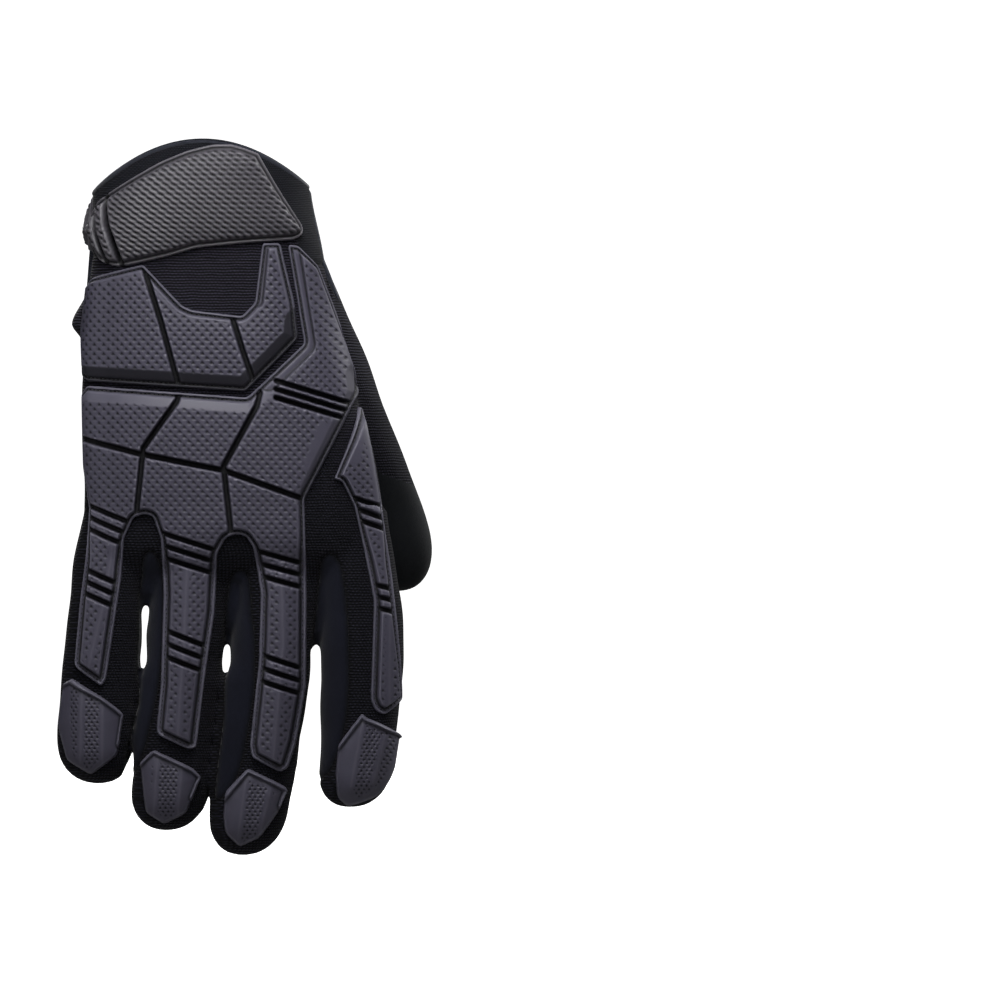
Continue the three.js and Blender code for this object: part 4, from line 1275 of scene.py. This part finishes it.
everyFinger = ("thumb", "little", "ring", "middle", "index")
backWrap = Wrap(handReach, 19.0, flare=3.2)
indexWrap = Wrap(indexReach, 17.0, 3.6)
guards = {
    "hand_guard": {
        "outline": [
            (-0.435, 0.187), (-0.405, 0.178), (-0.207, 0.16), (-0.07, 0.218), (-0.035, 0.224),
            (0.137, 0.232), (0.182, 0.213), (0.207, 0.13), (0.27, 0.13), (0.319, 0.213),
            (0.333, 0.263), (0.151, 0.337), (-0.42, 0.322), (-0.44, 0.315), (-0.445, 0.25),
        ],
        "shelves": [([(262, 243), (256, 300)], 2.2)],
        "digits": (), "spacing": 0.36,
        "flange": 1.0, "bead": 0.75, "channel": 1.25, "height": 4.3, "crown": 0.7,
        "pitch": 3.2, "row": 1.6, "pit": 0.85, "bevelDrop": 2.0,
        "grooves": [[(143, 262), (162, 322), (180, 388)], [(233, 318), (243, 350), (256, 388)]],
        "bevels": [([(50, 379), (82, 380), (246, 391), (298, 338), (299, 322)], 5.4, -0.75)],
    },
    "knuckle_guard": {
        "outline": [
            (0.295, 0.132), (0.333, 0.133), (0.378, 0.148), (0.413, 0.162), (0.539, 0.308),
            (0.543, 0.339), (0.354, 0.486), (0.36, 0.619), (0.357, 0.748), (0.322, 0.827),
            (0.294, 0.862), (0.266, 0.868), (0.168, 0.847), (0.161, 0.83), (0.193, 0.715),
            (0.2, 0.619), (0.175, 0.554), (0.15, 0.538), (0.116, 0.535), (0.08, 0.54),
            (0.049, 0.563), (0.039, 0.645), (0.01, 0.722), (-0.025, 0.834), (-0.053, 0.836),
            (-0.158, 0.816), (-0.165, 0.808), (-0.15, 0.749), (-0.14, 0.619), (-0.147, 0.542),
            (-0.175, 0.51), (-0.207, 0.507), (-0.242, 0.512), (-0.277, 0.542), (-0.287, 0.599),
            (-0.34, 0.738), (-0.357, 0.748), (-0.455, 0.722), (-0.462, 0.715), (-0.412, 0.5),
            (-0.437, 0.44), (-0.442, 0.34), (-0.42, 0.328), (0.155, 0.345), (0.352, 0.27),
        ],
        "digits": everyFinger, "spacing": 0.4,
        "flange": 1.0, "bead": 0.75, "channel": 1.25, "fingerFlange": 0.8, "height": 4.0, "crown": 0.6, "ridge": 0.6, "ridgeWidth": 5.0,
        "pitch": 3.2, "row": 1.6, "pit": 0.8, "bevelDrop": 1.3,
        "grooves": [
            [(70, 434), (138, 452), (224, 469), (310, 500)],
            [(181, 390), (177, 401), (144, 447), (136, 520)],
            [(260, 392), (257, 405), (224, 465), (233, 550)],
        ],
        "slots": [
            (276, 380, 356, 404, 3, 8.4), (86, 503, 128, 520, 3, 12), (78, 565, 118, 582, 3, 12),
            (162, 531, 212, 547, 3, 12), (160, 626, 208, 645, 3, 13),
            (250, 547, 304, 562, 3, 12), (256, 651, 304, 667, 3, 13),
        ],
        "ridges": [
            [(112, 545), (104, 600), (88, 664)], [(187, 560), (184, 640), (177, 742)],
            [(281, 570), (283, 640), (272, 766)],
        ],
        "shelves": [([(287, 244), (303, 343), (268, 378)], 4.0)],
        "bevels": [([(306, 497), (357, 392), (354, 372)], 3.8, -0.3),
                   ([(55, 386), (82, 387), (247, 400), (262, 388)], 4.3, 0.25)],
        "smooth": [[(300, 470), (312, 470), (332, 425), (320, 418)]],
    },
    "index_guard": {
        "outline": [
            (0.57, 0.357), (0.455, 0.459), (0.483, 0.461), (0.529, 0.498), (0.56, 0.553),
            (0.599, 0.63), (0.588, 0.766), (0.606, 0.781), (0.644, 0.788), (0.676, 0.781),
            (0.76, 0.766), (0.76, 0.36),
        ],
        "digits": ("little", "ring", "middle", "index"), "spacing": 0.36,
        "flange": 1.0, "bead": 0.7, "channel": 1.25, "fingerFlange": 0.7, "height": 3.9, "crown": 0.4, "ridge": 0.6, "ridgeWidth": 4.5,
        "pitch": 2.8, "row": 1.5, "pit": 0.75, "bevelDrop": 1.0,
        "slots": [(345, 493, 392, 510, 3, 10), (364, 580, 408, 592, 3, 11)],
        "ridges": [[(368, 430), (378, 502), (390, 590), (390, 706)]],
        "smooth": [[(351, 462), (359, 462), (369, 418), (363, 414)]],
    },
}
for name, spec in guards.items():
    wrap = indexWrap if name == "index_guard" else backWrap
    made = reliefPiece(name + "_rubber", place(spec["outline"]), mouldedRelief(spec, wrap),
                       materials["guard"],
                       wrap, spec["spacing"], spec["digits"])
    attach(made, "root")
    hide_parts(name)
    print(name, "made:", len(made.data.polygons), "faces")

caps = {
    "little": {
        "outline": [
            (-0.496, 0.744), (-0.458, 0.736), (-0.357, 0.762), (-0.277, 0.787), (-0.301, 0.843),
            (-0.395, 0.872), (-0.483, 0.851), (-0.52, 0.8),
        ],
        "lip": [[(59, 682), (69, 677), (101, 694), (124, 712), (119, 742)]],
        "textured": [(70, 684), (72, 752), (88, 768), (103, 752), (103, 697), (90, 690)],
        "ridges": [[(82, 690), (80, 760)], [(103, 700), (102, 764)]],
    },
    "ring": {
        "outline": [
            (-0.228, 0.855), (-0.175, 0.836), (-0.039, 0.862), (-0.004, 0.874), (-0.063, 0.925),
            (-0.14, 0.941), (-0.203, 0.925), (-0.221, 0.865),
        ],
        "lip": [[(138, 761), (153, 747), (192, 766), (202, 774), (192, 795)]],
        "textured": [(152, 757), (150, 790), (158, 812), (168, 818), (178, 806), (184, 768)],
        "ridges": [[(157, 756), (153, 812)], [(182, 766), (177, 812)]],
    },
    "middle": {
        "outline": [
            (0.074, 0.896), (0.154, 0.862), (0.298, 0.89), (0.266, 0.92), (0.196, 0.959),
            (0.123, 0.973), (0.074, 0.953), (0.067, 0.928),
        ],
        "lip": [[(223, 795), (247, 766), (288, 786), (281, 804)]],
        "textured": [(243, 776), (236, 820), (241, 842), (256, 842), (266, 812), (275, 788)],
        "ridges": [[(245, 780), (237, 836)], [(270, 786), (259, 832)]],
    },
    "index": {
        "outline": [
            (0.469, 0.83), (0.553, 0.785), (0.567, 0.791), (0.74, 0.816), (0.68, 0.86),
            (0.602, 0.904), (0.501, 0.917), (0.466, 0.904), (0.459, 0.872),
        ],
        "lip": [[(337, 743), (361, 711), (365, 715), (410, 733)]],
        "textured": [(362, 722), (349, 780), (356, 796), (380, 780), (394, 745), (394, 732)],
        "ridges": [[(361, 723), (350, 784)], [(383, 736), (372, 780)]],
    },
}
capSizes = {
    "flange": 0.9, "bead": 0.0, "channel": -0.3, "height": 3.9, "crown": 1.3, "ridge": 0.7, "ridgeWidth": 4.2,
    "lipWidth": 1.3, "lipRise": 1.5, "pitch": 1.9, "row": 1.3, "pit": 0.62,
}


def capRelief(spec, wrap):
    base = mouldedRelief(spec, wrap)
    lip = [wrap.flat(drawn(line)) for line in spec["lip"]]

    def relief(s, z, d):
        stand, marks = base(s, z, d)
        reach = lineDistance(s, z, lip)
        raised = 1 - smoothstep(spec["lipWidth"] - 0.6, spec["lipWidth"] + 0.2, reach)
        stand = stand + spec["lipRise"] * raised * smoothstep(-0.1, 0.4, d)
        # painted shadow beside the lip and a painted highlight on it
        shadow = 0.75 * hump(reach, spec["lipWidth"] + 0.35, 0.4)
        marks[..., 0] = np.maximum(marks[..., 0] * (1 - raised), shadow)
        marks[..., 1] = np.maximum(marks[..., 1], 0.75 * raised)
        return stand, marks

    return relief


for name, spec in caps.items():
    spec.update(capSizes)
    capWrap = Wrap(digitReach(name), 11.0, 2.2)
    made = reliefPiece(name + "_cap_rubber", place(spec["outline"]), capRelief(spec, capWrap),
                       materials["guard"],
                       capWrap, 0.3, (name,))
    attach(made, "root")
    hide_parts(name + "_cap")
print("fingertip shells made")


# wrist strap: one band from the back round the outer edge to the tab on the palm

strap = {
    "height": 2.9, "bead": 0.7, "puff": 2.4, "pitch": 2.9, "row": 1.65, "shift": 0.75, "knurlDepth": 0.9, "belowRim": 0.7, "seenAt": 3.6,
    "back": [
        (92, 201), (116, 186), (161, 162), (189, 151), (214, 145), (248, 145), (258, 150), (307, 226),
        (307, 235), (297, 240), (248, 243), (197, 248), (166, 257), (138, 263), (116, 267), (96, 262),
    ],
    "palm": [
        (834, 252), (828, 238), (818, 224), (798, 208), (773, 202), (743, 239), (731, 239), (676, 218),
        (620, 201), (615, 193), (616, 162), (628, 154), (695, 150), (764, 152), (806, 164), (823,
                                                                                             176), (832,
                                                                                                    197),
    ],
    "bands": [
        [(614, 163), (656, 165), (710, 175), (752, 175), (790, 181), (834, 197)],
        [(614, 182), (656, 184), (706, 194), (733, 196), (773, 202)],
    ],
    "flex": [[(103, 196), (108, 225), (121, 268)], [(91, 208), (95, 232), (105, 268)]],
}


def onPalmView(pairs):
    pairs = np.asarray(pairs, float)
    x = drawing["wristRight"] - (pairs[..., 0] - drawing["wristLeft"]) * drawing["palmUnit"]
    return np.stack([x, (drawing["top"] - pairs[..., 1]) * drawing["unit"]], -1)


def wristCurve(z, count=901):
    # the wrist's superellipse from the outer edge: turn below 0 is the back, above 0 the palm
    centre, half, back, front = palmSection(z)
    turn = np.linspace(-3.05, 3.05, count)[None, :]
    across = -signedPower(np.cos(turn), 2 / palmSquareness)
    deep = signedPower(np.sin(turn), 2 / palmSquareness)
    x = centre[:, None] + half[:, None] * across
    y = np.where(deep < 0, back[:, None], front[:, None]) * deep
    step = np.hypot(np.diff(x, axis=1), np.diff(y, axis=1))
    arc = np.concatenate([np.zeros((len(z), 1)), np.cumsum(step, axis=1)], axis=1)
    return x, y, arc - arc[:, count // 2][:, None]


def strapFlat(pairs, side):
    x, y, arc = wristCurve(pairs[:, 1])
    # the outline was measured on the strap's own surface, which stands off the cloth
    stepX, stepY = np.gradient(x, axis=1), np.gradient(y, axis=1)
    outX = -stepY / np.maximum(np.hypot(stepX, stepY), 1e-9)
    outX *= np.where(outX[:, x.shape[1] // 2][:, None] > 0, -1, 1)
    x = x + strap["seenAt"] * outX
    middle = x.shape[1] // 2
    chosen = slice(0, middle + 1) if side < 0 else slice(middle, None)
    flat = []
    for value, rowX, rowArc in zip(pairs[:, 0], x[:, chosen], arc[:, chosen]):
        order = np.argsort(rowX)
        flat.append(np.interp(value, rowX[order], rowArc[order]))
    return np.stack([np.array(flat), pairs[:, 1]], -1)


def heightOfLine(line, s):
    order = np.argsort(line[:, 0])
    return np.interp(s, line[order, 0], line[order, 1])


def makeStrap():
    outline = np.concatenate([strapFlat(drawn(strap["back"]), -1)[::-1],
                              strapFlat(onPalmView(strap["palm"]), 1)])
    outline = rounded(outline, 2.2)
    spacing = 0.38
    z = np.arange(outline[:, 1].max() + spacing, outline[:, 1].min() - spacing, -spacing)
    curveX, curveY, arc = wristCurve(z)
    s = np.arange(outline[:, 0].min() - spacing, outline[:, 0].max() + spacing, spacing)
    x = np.array([np.interp(s, rowArc, row) for rowArc, row in zip(arc, curveX)])
    y = np.array([np.interp(s, rowArc, row) for rowArc, row in zip(arc, curveY)])
    ss, zz = np.meshgrid(s, z)
    base = np.stack([x, y, zz], -1)
    normal = np.cross(np.gradient(base, axis=1), np.gradient(base, axis=0))
    normal *= np.sign((normal * base).sum(-1, keepdims=True))
    normal = unitVectors(normal)
    # the strap stays below the rim of the cuff
    d = np.minimum(insideDistance(ss, zz, outline),
                   rimField(base.reshape(-1, 3)).reshape(ss.shape) - strap["belowRim"])
    bands = [strapFlat(onPalmView(line), 1) for line in strap["bands"]]
    bands[0] = np.concatenate([bands[0], [[0.0, bands[0][-1, 1]]]])
    flex = [strapFlat(drawn(line), -1) for line in strap["flex"]]
    bandReach, flexReach = lineDistance(ss, zz, bands), lineDistance(ss, zz, flex)
    palmSide = ss > 3
    upper = palmSide & (zz > heightOfLine(bands[0], ss))
    tab = palmSide & (zz < heightOfLine(bands[1], ss)) & (ss > strapFlat(onPalmView([(790, 204)]), 1)[0, 0])
    foot = smoothstep(-0.1, 0.45, d)
    bead = strap["bead"] * hump(d, 0.6, 0.36)
    puff = (0.5 + (strap["puff"] - 0.5) * smoothstep(16, 0,
                                                     ss)) * (1 - np.exp(-np.clip(d - 1.8, 0, None) / 4.5))
    body = 1.1 + (strap["height"] - 1.1) * smoothstep(1.3, 2.6, d) + puff
    # slanting rows of short bars: one wave across the rows and a weaker one along them
    pitch, row, shift = strap["pitch"], strap["row"], strap["shift"]
    across = np.cos(2 * np.pi * (ss / pitch - shift * zz / row))
    along = np.cos(2 * np.pi * zz / row)
    knurl = np.clip(0.52 + 0.4 * across + 0.2 * along, 0, 1)
    chevron = np.clip(0.5 + 0.3 * np.cos(2 * np.pi * (ss / 2.6 + zz / 2.4)) + 0.3 * np.cos(2 * np.pi * (ss / 2.6 - zz / 2.4)), 0, 1)
    ribs = 0.5 + 0.5 * np.sin(2 * np.pi * (ss / 1.9 + zz / 9))
    sideways = smoothstep(3, 8, ss) * (1 - smoothstep(20, 26, ss)) * (~upper)
    pattern = np.where(upper, chevron, knurl * (1 - sideways) + ribs * sideways)
    # the upper band keeps a smooth strip along its lower line
    strip = upper & (zz < heightOfLine(bands[0], ss) + 1.9)
    patterned = smoothstep(1.7, 2.5, d) * smoothstep(0.5, 1.0, bandReach) * smoothstep(1.5, 2.3, flexReach)
    patterned = patterned * (~tab) * np.where(upper, 0.6, 1.0) * (~strip) * (1 - 0.85 * hump(ss, 0, 6))
    body = body + strap["knurlDepth"] * (pattern - 0.6) * patterned
    body = np.where(tab, body - 0.35 + 0.7 * np.cos(np.clip((zz + 24) / 8, -1.5, 1.5)), body)
    body = 0.9 + (body - 0.9) * smoothstep(0.15, 0.7, bandReach)
    body = 0.3 + (body - 0.3) * smoothstep(0.35, 1.5, flexReach)
    stand = foot * (body + bead)
    # painted shade in the groove inside the bead, along the band lines, in the flex grooves and in the
    # knurl's hollows; painted highlights on the bead, the knurl's crests and beside the flex grooves
    dark = np.maximum.reduce([
        hump(d, 1.3, 0.35), 1.1 * (1 - smoothstep(0.2, 0.7, bandReach)),
        1.2 * (1 - smoothstep(0.6, 1.2, flexReach)), 1.1 * patterned * np.clip(1.25 - 2.9 * pattern, 0, 1)])
    paintedHighlight = hump(d, 0.55, 0.36) + 0.75 * patterned * smoothstep(0.62, 1.0, pattern)
    paintedHighlight += 0.35 * hump(flexReach, 2.0, 0.6) * smoothstep(1.5, 3, d)
    marks = np.stack([dark, np.clip(paintedHighlight, 0, 1), patterned], -1)
    coarse = np.zeros(ss.shape)
    coarse[::10, ::10] = 1
    top = base + normal * stand[..., None]
    columns = np.concatenate([top, base - normal * 0.5, ss[..., None], zz[..., None],
                              marks, d[..., None], coarse[..., None]], -1).reshape(-1, 13)
    columns, triangles = keepInside(columns, gridTriangles(len(z), len(s)), d.reshape(-1))
    made = closeSheet("wrist_strap_rubber", columns, triangles, materials["strap"])
    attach(made, "root")
    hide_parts("wrist_strap")
    print("strap made:", len(made.data.polygons), "faces")


makeStrap()


# pads and the grip patch on the palm

palmWrap = Wrap(handReach, 21.0, 1.5, 1)
pads = {
    "thenar_pad": {
        "centre": (14.5, -76.5), "halfWidth": 18.5, "halfHeight": 34.0, "lean": -0.09, "power": 2.3,
        "height": 2.3, "puff": 4.5, "look": "suede", "digits": ("thumb",), "spacing": 0.5, "fill": 0.5,
    },
    "heel_pad": {
        "outline": [
            (-0.2, 0.19), (-0.245, 0.165), (-0.3, 0.172), (-0.33, 0.21), (-0.355, 0.27), (-0.375, 0.33),
            (-0.39, 0.38), (-0.37, 0.42), (-0.31, 0.435), (-0.25, 0.42), (-0.19, 0.385), (-0.155, 0.33),
            (-0.155, 0.27), (-0.175, 0.225),
        ],
        "height": 2.3, "puff": 4.0, "look": "suede", "digits": (), "spacing": 0.5, "fill": 0.5,
    },
    "grip_patch": {
        "outline": [
            (0.633, 0.491), (0.535, 0.468), (0.434, 0.456), (0.343, 0.468), (0.284, 0.494),
            (0.218, 0.508), (0.11, 0.51), (-0.033, 0.503), (-0.183, 0.492), (-0.284, 0.474),
            (-0.35, 0.468), (-0.42, 0.494), (-0.437, 0.538), (-0.402, 0.582), (-0.357, 0.591),
            (-0.298, 0.58), (-0.221, 0.571), (-0.169, 0.581), (-0.123, 0.598), (-0.071, 0.613),
            (-0.019, 0.61), (0.044, 0.601), (0.096, 0.599), (0.155, 0.613), (0.232, 0.619),
            (0.308, 0.613), (0.382, 0.602), (0.459, 0.61), (0.535, 0.626), (0.601, 0.622),
            (0.636, 0.603),
        ],
        "height": 1.5, "puff": 1.6, "look": "grip", "digits": ("little", "ring", "middle",
                                                               "index"), "spacing": 0.45, "fill": 0.4,
    },
}


def eggOutline(spec, count=48):
    # superellipse leaned a little: x shifts with z
    turn = np.arange(count) * 2 * np.pi / count
    x = signedPower(np.cos(turn), 2 / spec["power"]) * spec["halfWidth"]
    z = signedPower(np.sin(turn), 2 / spec["power"]) * spec["halfHeight"]
    return np.stack([spec["centre"][0] + x - spec["lean"] * z, spec["centre"][1] + z], -1)


def padRelief(spec):
    # rises from a thin hem between two stitch rows to a crown that levels off
    def relief(s, z, d):
        hem = 0.75 * smoothstep(0, 0.7, d) - 0.3 * hump(d, 1.2, 0.45)
        hem -= 0.35 * hump(d, 3.1, 0.6)
        crown = (spec["height"] - 0.7) * (1 - np.exp(-np.clip(d - 3.1, 0, None) / spec["puff"] * 1.6))
        swell = 0.12 * np.sin(s / 4.3 + z / 9) * np.sin(z / 5.1) * smoothstep(3, 6, d)
        # painted shade at the pad's foot and in the groove at the inner stitch row
        dark = hump(d, 0.1, 0.5) + 0.5 * hump(d, 3.1, 0.5)
        zero = np.zeros(d.shape)
        return hem + crown + swell, np.stack([np.clip(dark, 0, 1), zero, zero], -1)

    return relief


padOutlines = {}
for name, spec in pads.items():
    outline = place(spec["outline"]) if "outline" in spec else eggOutline(spec)
    padOutlines[name] = outline
    made = reliefPiece(name + "_padded", outline, padRelief(spec), materials[spec["look"]], palmWrap,
                       spec["spacing"], spec["digits"])
    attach(made, "root")
    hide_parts(name)
print("pads made")


# stitches: short bars laid along a path

def inset(outline, depth):
    # the outline moved inwards; places where it would cross itself are left out
    start, end = outline, np.roll(outline, -1, axis=0)
    along = np.linspace(0, 1, 8, endpoint=False)[None, :, None]
    dense = (start[:, None] * (1 - along) + end[:, None] * along).reshape(-1, 2)
    tangent = np.roll(dense, -3, axis=0) - np.roll(dense, 3, axis=0)
    tangent = unitVectors(tangent)
    area = (start[:, 0] * end[:, 1] - end[:, 0] * start[:, 1]).sum()
    inward = np.stack([-tangent[:, 1], tangent[:, 0]], -1) * np.sign(area)
    moved = dense + inward * depth
    return moved[insideDistance(moved[:, 0], moved[:, 1], outline) > depth - 0.08]


def evenly(path, pitch):
    # points at equal steps along a path
    run = np.concatenate([[0], np.cumsum(np.linalg.norm(np.diff(path, axis=0), axis=1))])
    at = np.arange(0, run[-1], pitch)
    return np.stack([np.interp(at, run, path[:, k]) for k in range(path.shape[1])], -1)


def onSheet(name, path):
    # places and directions of a sheet's surface at flat positions
    sheet = sheets[name]
    row = np.clip(np.rint((path[:, 1] - sheet["z"][0]) / (sheet["z"][1] - sheet["z"][0])).astype(int), 0,
                  len(sheet["z"]) - 1)
    column = np.abs(sheet["s"][row] - path[:, 0][:, None]).argmin(axis=1)
    return sheet["top"][row, column], sheet["out"][row, column]


def stitches(name, starts, ends, outs, radius, material):
    # each stitch is a bar of five rings of six corners, thick in its middle
    along = ends - starts
    length = np.linalg.norm(along, axis=1)
    keep = (length > 0.3) & (length < 3)
    starts, along, outs, length = starts[keep], along[keep], outs[keep], length[keep]
    side = np.cross(along, outs)
    side = unitVectors(side)
    ring, turn = np.array([0, 0.12, 0.5, 0.88, 1]), np.arange(6) * np.pi / 3
    thick = np.array([0.25, 0.8, 1.0, 0.8, 0.25]) * radius
    lift = np.array([-0.4, 0.1, 0.5, 0.1, -0.4]) * radius
    middle = starts[:, None] + along[:, None] * ring[None, :, None] + outs[:, None] * lift[None, :, None]
    around = side[:, None] * np.cos(turn)[None, :, None] + outs[:, None] * np.sin(turn)[None, :, None]
    points = middle[:, :, None] + around[:, None] * thick[None, :, None, None]
    one = ringFaces(5, 6)
    quads = np.array([face for face in one if len(face) == 4])
    caps6 = np.array([face for face in one if len(face) == 6])
    shift = (np.arange(len(starts)) * 30)[:, None, None]
    faces = (quads[None] + shift).reshape(-1, 4).tolist() + (caps6[None] + shift).reshape(-1, 6).tolist()
    made = newObject(name, points.reshape(-1, 3), faces, material)
    outwards(made)
    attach(made, "root")
    return made


# piece: rows of stitches by their depth inside the outline, pitch, share of the pitch, radius
sewing = {
    "thenar_pad_padded": ([1.2, 3.1], 2.0, 0.7, 0.27, "thread", "palm_leather"),
    "heel_pad_padded": ([1.2, 3.1], 2.0, 0.7, 0.27, "thread", "palm_leather"),
    "grip_patch_padded": ([0.9], 1.9, 0.7, 0.25, "thread", "palm_leather"),
    "hand_guard_rubber": ([1.3], 1.6, 0.6, 0.22, "darkThread", "guard_rubber"),
    "knuckle_guard_rubber": ([1.3], 1.6, 0.6, 0.22, "darkThread", "guard_rubber"),
    "index_guard_rubber": ([1.3], 1.6, 0.6, 0.22, "darkThread", "guard_rubber"),
}
for name, (depths, pitch, share, radius, look, slotName) in sewing.items():
    starts, ends, outs = [], [], []
    for depth in depths:
        path = evenly(inset(sheets[name]["outline"], depth), pitch)
        place3, out3 = onSheet(name, path)
        after = np.roll(place3, -1, axis=0)
        starts.append(place3)
        ends.append(place3 + (after - place3) * share)
        outs.append(out3)
    base = name.rsplit("_", 1)[0]
    stitches(base + "_stitches", np.concatenate(starts), np.concatenate(ends), np.concatenate(outs), radius,
             materials[look])


def seamStitches():
    # thread along the cuff seam on the palm, laid on the nearest points of the cloth
    x = np.linspace(33, -37, 400)
    seam = np.abs(stacked[:, cuffColumn]) < 1.5
    near = stacked[seam & (stacked[:, 1] > 2)][:, :3]
    target = np.stack([x, -37.2 - 1.5 * np.sin(x / 24)], -1)
    pick = ((near[None, :, [0, 2]] - target[:, None]) ** 2).sum(axis=2).argmin(axis=1)
    path = evenly(np.column_stack([x, near[pick, 1], target[:, 1]]), 2.0)
    kernel = np.ones(3) / 3
    path[1:-1, 1] = np.convolve(path[:, 1], kernel, "valid")
    starts, ends = path[:-1], path[:-1] + np.diff(path, axis=0) * 0.65
    outs = np.tile([0.0, 1.0, 0.0], (len(starts), 1))
    stitches("cuff_seam_stitches", starts, ends, outs, 0.26, materials["thread"])


seamStitches()
print("stitches made")


# bindings of the cuff: a tube round the rim and a soft roll down the thumb's side

def tubeAlong(name, path, radius, closed, material, sides=12):
    # circles square to the path; their first axis stays as level as it can
    before, after = np.roll(path, 1, axis=0), np.roll(path, -1, axis=0)
    if not closed:
        before[0], after[-1] = path[0], path[-1]
    tangent = after - before
    tangent = unitVectors(tangent)
    first = np.cross(tangent, [0.0, 0.0, 1.0] if closed else [0.0, 1.0, 0.0])
    first = unitVectors(first)
    second = np.cross(tangent, first)
    turn = np.arange(sides) * 2 * np.pi / sides
    circle = first[:, None] * np.cos(turn)[None, :, None] + second[:, None] * np.sin(turn)[None, :, None]
    rings = path[:, None] + circle * np.broadcast_to(radius, len(path))[:, None, None]
    if closed:
        rings = np.concatenate([rings, rings[:1]])
    faces = ringFaces(len(rings), sides, not closed)
    if closed:
        faces = [tuple(corner % (len(path) * sides) for corner in face) for face in faces]
        rings = rings[:-1]
    made = newObject(name, rings.reshape(-1, 3), faces, material)
    outwards(made)
    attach(made, "root")
    return made


def rimPath(count=240):
    # where the rim's surface cuts the wrist, found by repeating the height for each direction
    turn = np.arange(count) * 2 * np.pi / count
    z = np.zeros(count)
    for step in range(12):
        centre, half, back, front = palmSection(z)
        x = centre + (half - 0.85) * signedPower(np.cos(turn), 2 / palmSquareness)
        z = glove["rimRise"] - glove["rimDrop"] * (x / (0.4 * glove["handWidth"])) ** 2
    deep = signedPower(np.sin(turn), 2 / palmSquareness)
    y = deep * (np.where(deep < 0, back, front) - 0.85)
    return np.stack([x, y, z - 1.5], -1)


tubeAlong("cuff_rim_binding", rimPath(), 1.15, True, materials["binding"])
rollZ = np.linspace(-12.5, -52, 70)
rollRight = handReach(rollZ)[1]
rollShare = np.linspace(0, 1, 70)
rollRadius = 1.5 * np.sqrt(np.clip(1 - rollShare ** 3, 0.02, 1)) * np.sqrt(np.clip(rollShare / 0.06, 0.05,
                                                                                   1))
tubeAlong("cuff_side_roll", np.stack([rollRight - 0.9, 0 * rollZ - 1.6, rollZ], -1), rollRadius, False,
          materials["binding"])
print("bindings made")


# pull loop: a tape carried along a long U

loop = {"root": (-34.2, 11.6, -30.0), "tip": (-36.8, 11.2, -64.0), "length": 36.0, "width": 7.5,
        "tape": 1.6,
        "depth": 6.0, "facing": 40.0}


def makeLoop():
    # path in its own plane: down one leg, half a circle, back up the other leg
    bend = loop["width"] / 2 - loop["tape"] / 2
    straight = loop["length"] - loop["width"] / 2
    leg = np.linspace(0, straight, 24)
    turn = np.linspace(-np.pi / 2, np.pi / 2, 20)[1:-1]
    down = np.concatenate([leg, straight + bend * np.cos(turn), leg[::-1]])
    aside = np.concatenate([-bend * np.ones(24), bend * np.sin(turn), bend * np.ones(24)])
    tangent = np.stack([np.gradient(down), np.gradient(aside)], -1)
    tangent = unitVectors(tangent)
    root, tip = np.array(loop["root"]), np.array(loop["tip"])
    along = (tip - root) / np.linalg.norm(tip - root)
    turnAngle = math.radians(loop["facing"])
    across = np.cross([-math.sin(turnAngle), math.cos(turnAngle), 0], along)
    across /= np.linalg.norm(across)
    facing = np.cross(along, across)
    # section: a rounded rectangle of the tape's thickness and width
    section = np.arange(20) * 2 * np.pi / 20
    thick = signedPower(np.cos(section), 0.5) * loop["tape"] / 2
    wide = signedPower(np.sin(section), 0.5) * loop["depth"] / 2 + loop["depth"] / 2
    outDown, outAside = -tangent[:, 1], tangent[:, 0]
    u = down[:, None] + outDown[:, None] * thick[None, :]
    v = aside[:, None] + outAside[:, None] * thick[None, :]
    w = np.repeat(wide[None, :], len(down), 0)
    points = root + u[..., None] * along + v[..., None] * across + w[..., None] * facing
    made = newObject("pull_loop_tape", points.reshape(-1, 3), ringFaces(len(down), 20), materials["tape"])
    run = np.concatenate([[0], np.cumsum(np.hypot(np.diff(down), np.diff(aside)))])
    uv = np.stack([np.repeat(run[:, None], 20, 1), np.repeat(section[None, :], len(down), 0)],
                  -1).reshape(-1, 2)
    corners = np.empty(len(made.data.loops), dtype=np.int64)
    made.data.loops.foreach_get("vertex_index", corners)
    layer = made.data.uv_layers.new(name="flat")
    layer.uv.foreach_set("vector", (uv[corners] * mm).ravel())
    outwards(made)
    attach(made, "root")
    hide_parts("pull_loop")


makeLoop()
print("pull loop made")
